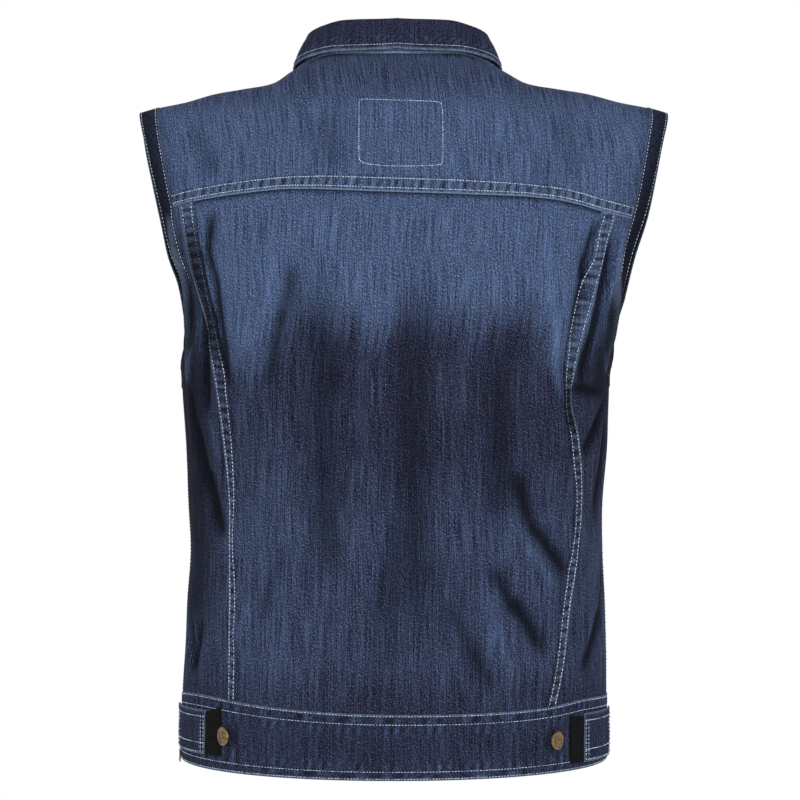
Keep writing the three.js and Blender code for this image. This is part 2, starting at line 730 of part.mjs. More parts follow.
// Side adjusters: a denim tab on the waistband and a black strap that comes out of it
function placeLaid(low, high) {
  return (turn, rise) => [turn, lerp(low, high, rise)];
}

const onBand = bandThickness / 2 + seamGap;
for (const size of adjusters) {
  const { name, strapStart, strapEnd, tabEnd, low, high } = size;
  const clear = Math.sign(tabEnd) * gapTurn;
  const slanted = (turn, rise) => {
    const near = (turn - strapStart) / (strapEnd - strapStart);
    return [turn, lerp(size.strapLow, size.strapHigh - size.cornerDrop * near, rise)];
  };
  add(`adjuster_strap_${name}`, wall(onCloth(slanted),
    steps(strapStart, strapEnd - clear, 2), steps(0, 1, 4),
    even(onBand), even(onBand + strapThickness)), 0x0c0d10, 0.95, 0);
  denim(`adjuster_tab_${name}`, wall(onCloth(placeLaid(low, high)),
    steps(strapEnd + clear, tabEnd, 6), steps(0, 1, 4),
    even(onBand), even(onBand + tabThickness)), 0x2b3550);
}

// A small plain leather tag at the left corner of the hem
add('hem_tag', wall(onCloth(placeLaid(hemTag.low, hemTag.high)),
  steps(hemTag.start, hemTag.end, 3), steps(0, 1, 2),
  even(onBand), even(onBand + hemTag.thickness)), 0x5a3a22, 0.6, 0);

// Shank buttons, turned about their axis, each standing on the cloth under it
const shortShank = 1.6;
const longShank = 3.2;

function buttonGeometry(shank) {
  const profile = [
    [0, 0], [3.6, 0], [3.2, shank], [buttonRadius - 1.4, shank + 0.3], [buttonRadius, shank + 1.1],
    [buttonRadius - 0.4, shank + 2.4], [buttonRadius - 2, shank + 2.7], [0, shank + 3],
  ].map(([radius, height]) => new THREE.Vector2(radius, height));
  const lathe = new THREE.LatheGeometry(profile, 12);
  lathe.deleteAttribute('normal');
  lathe.deleteAttribute('uv');
  lathe.rotateX(Math.PI / 2);
  return mergeVertices(lathe, 1e-4);
}

function addButton(name, turn, reach, standing, shank, tilt) {
  add(name, buttonGeometry(shank), 0xa5823f, 0.4, 1);
  const button = vest.children[vest.children.length - 1];
  const normal = outward(cloth, turn, reach, 0.4);
  button.position.copy(cloth(turn, reach).addScaledVector(normal, standing));
  const axis = normal.applyAxisAngle(new THREE.Vector3(0, 0, 1), radians(tilt));
  button.quaternion.setFromUnitVectors(new THREE.Vector3(0, 0, 1), axis);
}

// The adjusters pull their buttons over towards the sides
for (const { name, button, buttonHeight } of adjusters) {
  const standing = onBand + 3.6 * Math.sin(radians(adjusterTilt));
  const tilt = -Math.sign(button) * adjusterTilt;
  addButton(`adjuster_button_${name}`, button, buttonHeight, standing, longShank, tilt);
}

const buttonLow = 92;
const buttonHigh = 536;
steps(buttonLow, buttonHigh, frontButtonCount - 1).forEach((z, i) => {
  addButton(`front_button_${i + 1}`, 0, reachFront(0, z), placketOuterFace + seamGap, shortShank, 0);
});
const bandFront = bandThickness / 2 + overlapLift;
addButton('waist_button', 0, reachEnd - waistTopMiddle / 2, bandFront + seamGap, shortShank, 0);

vest.position.set(0, -holdDepth, -holdHeight);

export default vest;
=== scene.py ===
# %% [markdown]
# # A denim vest, seen from the back
#
# This notebook dresses a denim vest that keeps the shape it has when it is worn, with nobody in it.
# The frame that it starts from already holds every piece as a plain solid at its real size. Here each
# cloth piece gets a thinner, finer shell on the same form, with its folds, seams and stitches, and a
# denim that is faded over the shoulders and dark below.

# %% Load the frame
import bpy
import numpy as np
from mathutils import Matrix, Vector


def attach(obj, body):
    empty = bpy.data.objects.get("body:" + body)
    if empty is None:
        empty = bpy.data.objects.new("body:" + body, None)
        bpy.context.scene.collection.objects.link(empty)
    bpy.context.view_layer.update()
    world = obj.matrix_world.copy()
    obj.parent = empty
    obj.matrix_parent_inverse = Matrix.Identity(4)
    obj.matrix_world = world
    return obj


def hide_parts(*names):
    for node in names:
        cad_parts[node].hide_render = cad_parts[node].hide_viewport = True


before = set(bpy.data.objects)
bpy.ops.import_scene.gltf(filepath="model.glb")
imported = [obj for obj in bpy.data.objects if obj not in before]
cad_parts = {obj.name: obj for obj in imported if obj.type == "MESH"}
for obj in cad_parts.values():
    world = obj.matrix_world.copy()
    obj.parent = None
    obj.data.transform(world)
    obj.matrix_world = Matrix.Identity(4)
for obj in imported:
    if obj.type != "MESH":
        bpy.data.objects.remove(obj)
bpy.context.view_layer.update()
print("nodes in the frame:", len(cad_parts))

# %% [markdown]
# ## The form of the body
#
# A vest could be draped over a figure by simulation. Its shape in use is known, though, and a formula
# keeps every seam where the pattern cutter put it. So the whole garment is one smooth surface with two
# coordinates: `turn`, in degrees round the body from the middle of the back, and `reach`, in
# millimetres up the back, over the shoulder and down the front. Heights count from the hem.

# %% Driving sizes, in millimetres
UNDERARM = 365.0
ARCH = 300.0
RING_POWER = 2.4
HOLD_HEIGHT = 612.0
HOLD_DEPTH = 15.0
REACH_END = 2 * (UNDERARM + ARCH)
GIRTH_PER_DEGREE = 2.9
NECK_TURN = 21.0
BACK_NECK_ANGLE = 74.0
SHOULDER_SEAM_ANGLE = 100.0
FRONT_NECK_ANGLE = 141.3
FRONT_NECK_HEIGHT = 560.0
PLACKET_HALF = 20.0
WAIST_TOP, WAIST_RISE = 56.0, 8.0
HEM_LOW, HEM_RISE = -2.3, 6.3
SIDES = {"left": 1, "right": -1}

# %% Sections of the body and the lines of its ridge and seams
sections = dict(
    z=[0, 70, 110, 150, 195, 240, 290, 335, 365, 400, 441, 470, 505, 541, 571, 600, 635, 660],
    half=[196, 195.5, 193.8, 192.5, 190, 191, 194, 196.3, 198, 205, 214, 224, 235, 244.8, 252.5,
          260, 264, 265],
    centre=[5.5, 5, 4.2, 3.8, 3, 4, 3, 3.8, 3.5, -1.2, -3.2, -1.5, -3.3, -3.5, -3.4, -3.2, 2, 4],
    back=[124, 124, 120, 117, 114, 117, 124, 131] + [132] * 10,
    front=[126, 126, 123, 122, 122, 126, 131, 135.3] + [136] * 10,
)
ridge = dict(
    turn=[0, 12, 17, 21, 25, 31, 38, 46, 54.5, 66],
    z=[655, 652, 645, 635.5, 625, 620, 615.5, 608, 603.5, 597.5],
    y=[20, 20, 19.5, 19, 18, 17, 15, 14, 12, 10],
)
yoke_seam = dict(
    turn=[-65, -47, -32, -13, 0, 9, 25, 37, 54, 65],
    z=[495.5, 503, 513.5, 517, 518.5, 520, 522, 518, 511, 504],
)
waist_line = dict(
    turn=[-90, -77, -65, -54, -43, -30, -12, 8, 26, 40, 50, 60, 72, 82, 90],
    z=[64, 63.5, 64.6, 64.4, 60.6, 57.8, 56.4, 56.8, 60, 64, 67.2, 68.4, 67.2, 65, 64],
)
side_seams = dict(
    z=[56, 98, 155, 191, 245, 299, 334, 378, 432, 470, 510],
    left=[152.5, 152.5, 152.3, 152, 152.2, 157.5, 162.2, 170.5, 182.6, 191, 198.5],
    right=[-136, -145.5, -152.6, -159, -163, -159.5, -152.5, -159.8, -175.4, -184.8, -195.5],
)


def along(table, key, column, at):
    """A smooth curve through one column of a table, level past its ends."""
    keys = np.asarray(table[key], float)
    values = np.asarray(table[column], float)
    at = np.clip(np.asarray(at, float), keys[0], keys[-1])
    before = np.maximum(np.arange(len(keys)) - 1, 0)
    after = np.minimum(np.arange(len(keys)) + 1, len(keys) - 1)
    slopes = (values[after] - values[before]) / (keys[after] - keys[before])
    i = np.clip(np.searchsorted(keys, at, side="right") - 1, 0, len(keys) - 2)
    span = keys[i + 1] - keys[i]
    t = (at - keys[i]) / span
    rising = (1 + 2 * t) * (1 - t) ** 2 * values[i] + t * (1 - t) ** 2 * span * slopes[i]
    return rising + t * t * (3 - 2 * t) * values[i + 1] - t * t * (1 - t) * span * slopes[i + 1]


def bulge(angle):
    """How far out a softly squared ring lies at an angle, where a round one would lie at 1."""
    side = np.abs(np.sin(angle)) ** RING_POWER
    face = np.abs(np.cos(angle)) ** RING_POWER
    return (side + face) ** (-1 / RING_POWER)


def angle_for_share(share):
    """The angle at which such a ring is a given share of its half width to one side."""
    share = np.asarray(share, float)
    part = np.minimum(np.abs(share), 0.9999) ** RING_POWER
    return np.degrees(np.arctan((part / (1 - part)) ** (1 / RING_POWER))) * np.sign(share)


def turn_at(x, z):
    """The turn at which the body is x to the side of its middle, at a height."""
    return angle_for_share((x - along(sections, "z", "centre", z)) / along(sections, "z", "half", z))


def reach_back(turn, z):
    """Reach of a height on the back: the same up to the underarm, and round the arch above it."""
    z = np.asarray(z, float)
    top = along(ridge, "turn", "z", np.abs(turn))
    share = np.maximum(z - UNDERARM, 0) / (top - UNDERARM)
    return np.where(z <= UNDERARM, z, UNDERARM + ARCH * angle_for_share(share) / 90)


def reach_front(turn, z):
    return REACH_END - reach_back(turn, z)


def reach_at_angle(angle):
    return UNDERARM + ARCH * np.asarray(angle, float) / 90


def form(turn, reach):
    """Points of the smooth body, before its folds."""
    turn, reach = np.broadcast_arrays(np.asarray(turn, float), np.asarray(reach, float))
    low = np.minimum(reach, REACH_END - reach)
    facing = np.where(reach > REACH_END / 2, -1.0, 1.0)
    u = np.radians(turn)
    ring_x = np.sin(u) * bulge(u)
    ring_y = np.cos(u) * bulge(u)
    angle = np.radians((np.maximum(reach, UNDERARM) - UNDERARM) * 90 / ARCH)
    angle = np.minimum(angle, np.pi)
    top = along(ridge, "turn", "z", np.abs(turn))
    ridge_y = along(ridge, "turn", "y", np.abs(turn))
    arched = low > UNDERARM
    z = np.where(arched, UNDERARM + (top - UNDERARM) * np.sin(angle) * bulge(angle), low)
    depth_z = np.where(arched, UNDERARM, low)
    on_back = np.where(arched, facing, ring_y * facing) > 0
    depth = np.where(on_back, along(sections, "z", "back", depth_z),
                     along(sections, "z", "front", depth_z))
    foot = depth * ring_y * facing
    y = np.where(arched, ridge_y + np.abs(np.cos(angle)) * bulge(angle) * (foot - ridge_y), foot)
    x = along(sections, "z", "centre", z) + along(sections, "z", "half", z) * ring_x
    return np.stack([x, y, z], -1)


def outward(shape, turn, reach, step=0.4):
    """The way out of a shape, square to it."""
    across_turn = shape(turn + step, reach) - shape(turn - step, reach)
    across_reach = shape(turn, reach + step) - shape(turn, reach - step)
    normal = np.cross(across_reach, across_turn)
    return normal / np.linalg.norm(normal, axis=-1, keepdims=True)


print("girth at the chest, mm:", round(float(np.linalg.norm(np.diff(
    form(np.linspace(-180, 180, 361), np.full(361, 330.0)), axis=0), axis=1).sum())))

# %% [markdown]
# ## Folds
#
# Denim folds where the arm and the waist press it together. A simulated fold lands where it likes, and
# these have to lie where the cloth shows them. Each one is therefore a straight run on the cloth, from
# one turn and height to another, with a soft bell across it and a longer one along it. A minus depth
# is a trough. The front has similar ones, because it hangs from the same shoulders.

# %% The folds, in degrees of turn and millimetres: start, end, width and depth
folds = [
    # Back, on the wearer's left
    (43.0, 508, 49.0, 450, 4.2, -3.4),
    (47.6, 470, 48.6, 396, 4.6, -3.8),
    (48.6, 420, 45.0, 338, 4.4, -3.6),
    (28.0, 502, 31.2, 442, 3.8, 2.2),
    (29.4, 466, 36.6, 382, 3.8, 2.6),
    (35.2, 404, 38.5, 322, 4.2, 2.0),
    (25.2, 460, 30.8, 394, 5.5, -2.0),
    (29.0, 418, 34.3, 338, 5.5, -2.2),
    (58.4, 510, 61.4, 446, 7, 3.0),
    (59.0, 474, 65.2, 386, 7, 3.4),
    (63.0, 414, 68.6, 334, 7, 3.0),
    (55.2, 450, 54.8, 370, 5, -4.2),
    (55.3, 404, 55.6, 316, 5.5, -5.4),
    (67.0, 352, 62.4, 288, 6, -4.6),
    (64.4, 314, 56.8, 250, 7, -5.4),
    (57.6, 276, 50.6, 204, 8, -4.6),
    (54.0, 330, 49.8, 266, 5, 2.6),
    (70.5, 138, 64.8, 82, 5.5, -3.6),
    (60.0, 142, 65.0, 80, 5.5, -3.2),
    (34.4, 222, 39.4, 156, 7, 2.0),
    (38.0, 172, 44.6, 108, 7, 2.2),
    (30.8, 214, 36.8, 130, 8, -1.6),
    (13.6, 404, 15.0, 326, 8, -1.4),
    (74, 124, 66, 74, 7, 1.8),
    # Back, on the wearer's right
    (-30.8, 500, -37.0, 412, 5, 2.8),
    (-35.4, 442, -46.2, 318, 5, 3.4),
    (-45.0, 500, -44.2, 438, 4.2, -3.4),
    (-44.3, 468, -45.0, 378, 4.2, -3.4),
    (-52.0, 490, -53.4, 392, 5, -4.2),
    (-53.4, 420, -53.6, 342, 5.5, -4.6),
    (-46.8, 345, -71.5, 340, 5.5, -3.8),
    (-75, 340, -53.5, 281, 7, -5.2),
    (-53.6, 502, -60.2, 414, 6.5, 3.2),
    (-58.2, 446, -70.2, 344, 7, 3.4),
    (-76, 330, -66, 214, 10, -3.6),
    (-70.8, 146, -53.6, 80, 7, -3.4),
    (-31.2, 276, -38.8, 206, 7.5, -3.0),
    (-36.4, 226, -50.6, 172, 7.5, -3.6),
    (-28.8, 238, -37.4, 190, 6, 2.2),
    (-35.2, 208, -45.6, 156, 6.5, 2.8),
    (-24.6, 192, -33.0, 138, 7, -2.8),
    (-30.6, 162, -41.2, 102, 7.5, -3.2),
    (-23.2, 176, -26.8, 114, 6, 2.2),
    (-25.8, 134, -32.4, 74, 6.5, 2.2),
    (-12.8, 160, -21.8, 98, 7, -1.8),
    (-19.6, 118, -26.0, 62, 7, -2.2),
    (-82, 200, -66, 112, 12, -2.6),
    # Back, long and soft down the middle
    (-17, 490, -14, 180, 17, 2),
    (-4, 480, -6, 90, 19, -2),
    (9, 490, 8, 150, 16, 2),
    (20, 480, 17, 100, 15, -1.8),
    (-25, 410, -28, 190, 13, -2),
    (17.8, 200, 12.8, 74, 12, 1.6),
    (2, 240, 4, 84, 10, -1.2),
    # Yoke
    (45.5, 594, 41, 526, 7, -1.1),
    (33, 598, 27, 532, 11, 1.4),
    (14, 600, 16, 530, 12, -1),
    (-12, 600, -16, 530, 13, 1.1),
    (-31, 598, -37, 528, 10, -0.8),
    (-45, 588, -42, 522, 8, 1.9),
    # Front, from the sides towards the placket
    (106, 420, 120, 270, 12, -4),
    (98, 330, 122, 200, 14, 3.5),
    (128, 440, 136, 250, 16, 3),
    (146, 430, 150, 130, 18, -3),
    (112, 190, 128, 80, 13, -3.5),
    (161, 400, 163, 160, 16, 2),
    (134, 540, 128, 400, 10, -2.4),
    (-104, 430, -118, 280, 12, -4),
    (-96, 320, -121, 190, 14, 3.5),
    (-127, 450, -134, 240, 16, 3),
    (-147, 440, -149, 120, 18, -3),
    (-110, 200, -129, 85, 13, -3.5),
    (-162, 390, -164, 170, 16, 2),
    (-136, 545, -129, 405, 10, -2.4),
]
# Slow waves over the whole cloth: how fast they go round, how fast they go up, and their height
waves = [(0.31, 0.011, 0.30), (0.52, -0.019, 0.22), (0.87, 0.007, 0.18), (1.4, 0.026, 0.12)]
print("folds:", len(folds))


# %% The cloth: the form of the body with its folds
def smooth_step(value, low, high):
    """From 0 below low to 1 above high, without a corner."""
    t = np.clip((np.asarray(value, float) - low) / (high - low), 0, 1)
    return t * t * (3 - 2 * t)


def fold_depth(turn, z):
    """How far the folds lift the cloth, settling to nothing above the waistband."""
    depth = np.zeros(np.broadcast(turn, z).shape)
    for turn0, z0, turn1, z1, width, deep in folds:
        run_x, run_z = (turn1 - turn0) * GIRTH_PER_DEGREE, z1 - z0
        x, dz = (turn - turn0) * GIRTH_PER_DEGREE, z - z0
        length = np.hypot(run_x, run_z)
        t = np.clip((x * run_x + dz * run_z) / length ** 2, 0, 1)
        across = (x * run_z - dz * run_x) / length
        depth += deep * np.exp(-(across / width) ** 2) * (1 - (2 * t - 1) ** 4) ** 2
    return depth * smooth_step(z, 62, 100)


def ripple(turn, z):
    """The slow waves, which end at the waistband and at the shoulders."""
    height = sum(high * np.sin(round_ * turn + up * z + 9 * round_) for round_, up, high in waves)
    return height * smooth_step(z, 60, 110) * (1 - smooth_step(z, 560, 592))


def around_body(turn, reach):
    """The turn from the middle of the back, for the front as well."""
    return np.where(reach > REACH_END / 2, 180 * np.where(turn < 0, -1, 1) - turn, turn)


def cloth(turn, reach):
    """Points of the middle of the cloth, with its folds and waves."""
    turn, reach = np.broadcast_arrays(np.asarray(turn, float), np.asarray(reach, float))
    point = form(turn, reach)
    around = around_body(turn, reach)
    depth = fold_depth(around, point[..., 2]) + ripple(around, point[..., 2])
    return point + outward(form, turn, reach) * depth[..., None]


# %% [markdown]
# ## From a patch of cloth to a wall
#
# A cut piece of denim has two faces and an edge that can be seen. Solidify would add the second face,
# but here both faces are known: the wall is two grids on the same patch, a chosen distance apart, that
# meet round a softly rounded edge. Its UV map is in metres, along the girth and up the cloth, so a
# weave keeps its size. Each point also carries how faded and how worn the cloth is there, and how much
# painted shade it takes in fold troughs and on the sides that turn from the light.

# %% Sizes of the walls
GRID = 3.8
PANEL_HALF = 0.65
BAND_HALF = 1.5
VISIBLE_GAP = 0.03
EDGE_RADIUS = 0.8
GAP_TURN = VISIBLE_GAP / GIRTH_PER_DEGREE
flat_sizes = {}


def to_metres(points):
    """From heights above the hem, in mm, to metres from where the vest is held up."""
    return (np.asarray(points) - np.array([0, HOLD_DEPTH, HOLD_HEIGHT])) / 1000


def stations(length, step=GRID):
    """Places from 0 to 1 over a length in millimetres, closer together near both ends."""
    near = np.array([0, 0.35, 0.9, 1.7])
    count = max(int((length - 6.4) / step), 1) + 1
    inner = np.linspace(3.2, length - 3.2, count)
    return np.concatenate([near, inner, length - near[::-1]]) / length


def lifted(turn, reach, lift=0.0):
    """Points at a height above the cloth, and the way out of it."""
    way = outward(cloth, turn, reach)
    return cloth(turn, reach) + way * np.asarray(lift)[..., None], way


def on_cloth(place):
    return lambda a, b: lifted(*place(a, b))


def even(distance):
    return lambda a, b: distance


# %% How faded the denim is, from its place on the body
fade_line = dict(
    turn=[-90, -60, -41, -36, -30, -20, 0, 5, 12, 20, 26, 31, 38, 60, 90, 120, 150, 180],
    z=[398, 370, 350, 372, 396, 384, 390, 372, 384, 392, 398, 366, 344, 360, 398, 400, 390, 384],
)


def fade_at(turn, z):
    """Pale above the line of fading, with softer patches below it on both sides and in front."""
    line = along(fade_line, "turn", "z", np.where(turn < -90, -turn, turn))
    upper = smooth_step(z, line - 12, line + 52) * (1 - 0.5 * smooth_step(z, 584, 624))
    below = 0.26 * smooth_step(-z, -300, -210) * smooth_step(z, 60, 110)
    lower = 0.2 * np.exp(-((turn - 34) / 15) ** 2) * (1 - 0.4 * smooth_step(z, 300, 350))
    lower = lower + 0.12 * np.exp(-((turn + 31) / 11) ** 2) * smooth_step(-z, -320, -240)
    front = 0.2 * np.exp(-((np.abs(turn) - 146) / 16) ** 2)
    return np.clip(upper + (1 - upper) * (lower + front + below), 0, 1)


# %% The wall builder
def patch_looks(place, a, b, edge):
    """How faded and worn a patch is, how much painted shade it takes, and how near a seam it is, from its
    place and its folds.
    """
    turn, reach = place(a, b)
    turn, reach = np.broadcast_arrays(turn, reach)
    around = around_body(turn, reach)
    z = form(turn, reach)[..., 2]
    depth = fold_depth(around, z)
    # Painted shade on the sides that turn away from the lamps, from a height up on each side, but not on
    # fold ridges.
    shade_side = 0.8 * smooth_step(np.abs(around), 50, 64) * smooth_step(-np.abs(around), -128, -104)
    shade_end = np.where(around < 0, smooth_step(z, 322, 352), smooth_step(z, 112, 152))
    shade_side = shade_side * shade_end * (1 - smooth_step(depth, 0.4, 2.4))
    # Painted shade in the fold troughs, joined below with the painted shade of the sides.
    hollow = np.clip(-depth / 3.0, 0, 1)
    return dict(fade=fade_at(around, z), wear=np.clip((depth - 1.6) / 3.4, 0, 0.6),
                hollow=np.clip(hollow + shade_side * (1 - hollow), 0, 1), seam=np.exp(-(edge / 8) ** 2))


def grain(place, a, b):
    """Level girth from the middle of the plain form, so that the threads of every panel run straight up.

    On the shoulders, where the cloth lies flat, only the width counts."""
    turn, reach = np.broadcast_arrays(*place(a, b))
    share = np.linspace(0, 1, 33)
    line = form(turn[..., None] * share, reach[..., None] + 0 * share)
    steps = np.diff(line, axis=-2)
    upright = 1 - smooth_step(line[..., :1, 2], 500, 560)
    return np.sign(turn) * np.hypot(steps[..., 0], steps[..., 1] * upright).sum(axis=-1)


def add_object(name, data):
    piece = bpy.data.objects.new(name, data)
    bpy.context.collection.objects.link(piece)
    return piece


def grid_distances(point, closed):
    """The grid closed to a ring, and how far its points lie along it, up it and from an edge, in mm."""
    rows, columns = point.shape[:2]
    ring = np.concatenate([point, point[:, :1]], axis=1) if closed else point
    step_a = np.linalg.norm(np.diff(ring, axis=1), axis=-1)
    step_b = np.linalg.norm(np.diff(point, axis=0), axis=-1)
    u = np.concatenate([np.zeros((rows, 1)), np.cumsum(step_a, axis=1)], axis=1)
    v = np.concatenate([np.zeros((1, columns)), np.cumsum(step_b, axis=0)], axis=0)
    edge = np.minimum(v, v[-1:] - v)
    if not closed:
        edge = np.minimum(edge, np.minimum(u, u[:, -1:] - u))
    return ring, u, v, edge


def wall_faces(girth, v, closed):
    """Corners and map of the outer face, the inner face and the rim, and how many one face has."""
    rows, columns = v.shape
    layer = rows * columns
    v_ring = np.concatenate([v, v[:, :1]], axis=1) if closed else v
    left = np.arange(columns if closed else columns - 1)
    right = (left + 1) % columns
    row = np.arange(rows - 1)[:, None] * columns
    corners = np.stack([row + left, row + right, row + columns + right, row + columns + left], -1)
    quads = [corners.reshape(-1, 4) + layer, corners[..., ::-1].reshape(-1, 4)]

    def on_both_faces(grid):
        held = np.stack([grid[:-1, left], grid[:-1, left + 1], grid[1:, left + 1], grid[1:, left]], -1)
        return [held.reshape(-1, 4), held[..., ::-1].reshape(-1, 4)]

    maps_u, maps_v = on_both_faces(girth), on_both_faces(v_ring)

    def rim(first, second, u0, u1, v0, v1):
        quads.append(np.stack([first, second, second + layer, first + layer], -1))
        maps_u.append(np.stack([u0, u1, u1, u0], -1))
        maps_v.append(np.stack([v0, v1, v1, v0], -1))

    top = (rows - 1) * columns
    rim(left, right, girth[0, left], girth[0, left + 1], v[0, left], v[0, right])
    rim(top + right, top + left, girth[-1, left + 1], girth[-1, left], v[-1, right], v[-1, left])
    if not closed:
        side = np.arange(rows - 1) * columns
        last = side + columns - 1
        rim(side + columns, side, girth[1:, 0], girth[:-1, 0], v[1:, 0], v[:-1, 0])
        rim(last, last + columns, girth[:-1, -1], girth[1:, -1], v[:-1, -1], v[1:, -1])
    uv = np.stack([np.concatenate(maps_u), np.concatenate(maps_v)], -1) / 1000
    return np.concatenate(quads), uv, len(quads[0])


def make_wall(name, surface, across, up, inner, outer, place=None, closed=False, looks=None):
    """A closed wall of cloth. Returns its object and measures its flat size."""
    a, b = np.meshgrid(across, up)
    point, normal = surface(a, b)
    ring, u, v, edge = grid_distances(point, closed)
    low, high = inner(a, b) + 0 * a, outer(a, b) + 0 * a
    rounding = np.sqrt(1 - (1 - np.clip(edge / EDGE_RADIUS, 0.05, 1)) ** 2)
    middle, half = (low + high) / 2, (high - low) / 2 * rounding
    layers = [point + normal * (middle + side * half)[..., None] for side in (-1, 1)]
    columns = len(across)
    girth = u if closed else grain(place, a, b) if place else u - u[:, columns // 2, None]
    faces, uv, face_count = wall_faces(girth, v, closed)
    points = np.concatenate([part.reshape(-1, 3) for part in layers])
    p, q, r = points[faces[:, 0]], points[faces[:, 1]], points[faces[:, 2]]
    if np.einsum("ij,ij->", p, np.cross(q, r)) < 0:
        faces, uv = faces[:, ::-1], uv[:, ::-1]
    mesh = bpy.data.meshes.new(name)
    mesh.from_pydata(to_metres(points).tolist(), [], faces.tolist())
    mesh.uv_layers.new(name="cloth").data.foreach_set("uv", uv.ravel())
    inside = np.zeros(len(faces), int)
    inside[face_count:2 * face_count] = 1
    mesh.polygons.foreach_set("material_index", inside)
    values = dict(fade=0 * a, wear=0 * a, hollow=0 * a, seam=0 * a)
    if place:
        values.update(patch_looks(place, a, b, edge))
    if looks:
        values.update(looks(a, b, u[:, :columns], v, edge, values))
    for key, value in values.items():
        held = mesh.attributes.new(key, "FLOAT", "POINT")
        both = np.concatenate([(value + 0 * a).ravel()] * 2)
        held.data.foreach_set("value", both)
    mesh.shade_smooth()
    mesh.set_sharp_from_angle(angle=np.radians(62))
    mesh.update()
    first, second = ring[:-1, :-1] - ring[1:, 1:], ring[:-1, 1:] - ring[1:, :-1]
    area = np.linalg.norm(np.cross(first, second), axis=-1).sum() / 2
    flat_sizes[name] = (u[:, -1].max() / 1000, v[-1].max() / 1000, area / 1e6)
    return add_object(name, mesh)


def looks_of(fade_share, rub=0.0, rub_width=1.3):
    """The usual looks, with less fading and with edges that are rubbed pale."""
    def looks(a, b, u, v, edge, values):
        rubbed = rub * np.exp(-(edge / rub_width) ** 2) * (0.75 + 0.25 * uneven_wave(u, 11, rub_width))
        return dict(fade=values["fade"] * fade_share, wear=np.clip(values["wear"] + rubbed, 0, 1))
    return looks


def uneven_wave(along_mm, spacing, seed):
    """A wave along a line, whose spacing and height wander."""
    phase = along_mm * 2 * np.pi / spacing + 1.9 * np.sin(along_mm * 0.045 + seed) + seed
    return np.sin(phase) * (0.6 + 0.4 * np.sin(along_mm * 0.17 + 2.3 * seed))


def roped(base_looks, rows):
    """Pale worn blocks where stitches gather the cloth, and painted shade between them: distance from the
    top edge, width, spacing.
    """
    def looks(a, b, u, v, edge, values):
        shown = dict(values, **base_looks(a, b, u, v, edge, values))
        depth = v.max(axis=0) - v
        blocks = 0
        for distance, width, spacing in rows:
            blocks = blocks + np.exp(-((depth - distance) / width) ** 2) * uneven_wave(u, spacing, distance)
        return dict(shown, fade=np.clip(shown["fade"] + 0.8 * np.clip(blocks, 0, 1), 0, 1),
                    hollow=np.clip(shown["hollow"] + 0.9 * np.clip(-blocks, 0, 1), 0, 1))
    return looks


def wear_pieces(piece, *nodes, slot):
    """The piece rides on the vest and stands for its CAD nodes, which it hides; the slot is not used."""
    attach(piece, "root")
    if nodes:
        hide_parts(*nodes)
    return piece


def sew(name, place, across, up, inner, outer, node=None, slot="denim_dark", **more):
    """A wall on the cloth, which rides on the vest and stands for its CAD node, if it has one."""
    piece = make_wall(name, on_cloth(place), across, up, inner, outer, place=place, **more)
    return wear_pieces(piece, *([node] if node else []), slot=slot)


def print_flat(title, *words):
    """Print the flat sizes of the pieces whose names hold one of the words, in millimetres."""
    found = {name: size for name, size in flat_sizes.items() if any(word in name for word in words)}
    print(title, {name: f"{size[0] * 1000:.0f} x {size[1] * 1000:.0f}" for name, size in found.items()})


# %% [markdown]
# ## The lines where pieces meet
#
# The maker's seams are lines on the body: the top of the waistband, the edges of the armhole bands, the
# necklines, the yoke's seam and the two long seams of the back. Neighbours are cut to the same line.

# %% Waist, hem and armholes
ARMHOLE_RISE = 65.0
BAND_DEPTH = 22.0
BAND_TURN = 7.3
BAND_TIP_TURN = 54.3
ARMHOLE_TIP_TURN = 65.0
YOKE_END_TURN = 57.0
SWEEP = {"back": 25.0, "front": 14.0}
TO_REACH = {"back": reach_back, "front": reach_front}
BAND_LOWEST = UNDERARM - BAND_DEPTH
BAND_ROUND = BAND_DEPTH + ARMHOLE_RISE
BAND_TOP = float(reach_at_angle(SHOULDER_SEAM_ANGLE))


def lerp(start, end, share):
    return start + (end - start) * share


def waist_top(turn):
    """Height of the top of the waistband, from the table behind and even in front."""
    in_front = WAIST_TOP + WAIST_RISE * np.sin(np.radians(turn)) ** 2
    return np.where(np.abs(turn) < 90, along(waist_line, "turn", "z", turn), in_front)


def hem(turn):
    return HEM_LOW + HEM_RISE * np.sin(np.radians(turn)) ** 2


def round_end(face, around):
    """Edge and inner line of the band at the round bottom of the armhole: turn and height of each."""
    out, rise = np.sin(np.radians(around)), 1 - np.cos(np.radians(around))
    sweep = SWEEP[face]
    return ((90 - sweep * out, UNDERARM + ARMHOLE_RISE * rise),
            (90 - (sweep + BAND_TURN) * out, BAND_LOWEST + BAND_ROUND * rise))


def last_rise(face):
    return float(TO_REACH[face](90 - SWEEP[face], UNDERARM + ARMHOLE_RISE))


def straight_side(face, share):
    """Edge and inner line of the band above its round end: turn and reach of each."""
    reach = lerp(last_rise(face), BAND_TOP, share)
    sweep = SWEEP[face]
    return ((lerp(90 - sweep, ARMHOLE_TIP_TURN, share), reach),
            (lerp(90 - sweep - BAND_TURN, BAND_TIP_TURN, share), reach))


def inner_turn(face, z):
    """Turn of the band's inner line at a height beside its round end."""
    rise = np.clip((z - BAND_LOWEST) / BAND_ROUND, 0, 1)
    return 90 - (SWEEP[face] + BAND_TURN) * np.sin(np.arccos(1 - rise))


def back_band_turn(reach):
    share = (reach - last_rise("back")) / (BAND_TOP - last_rise("back"))
    return lerp(90 - SWEEP["back"] - BAND_TURN, BAND_TIP_TURN, share)


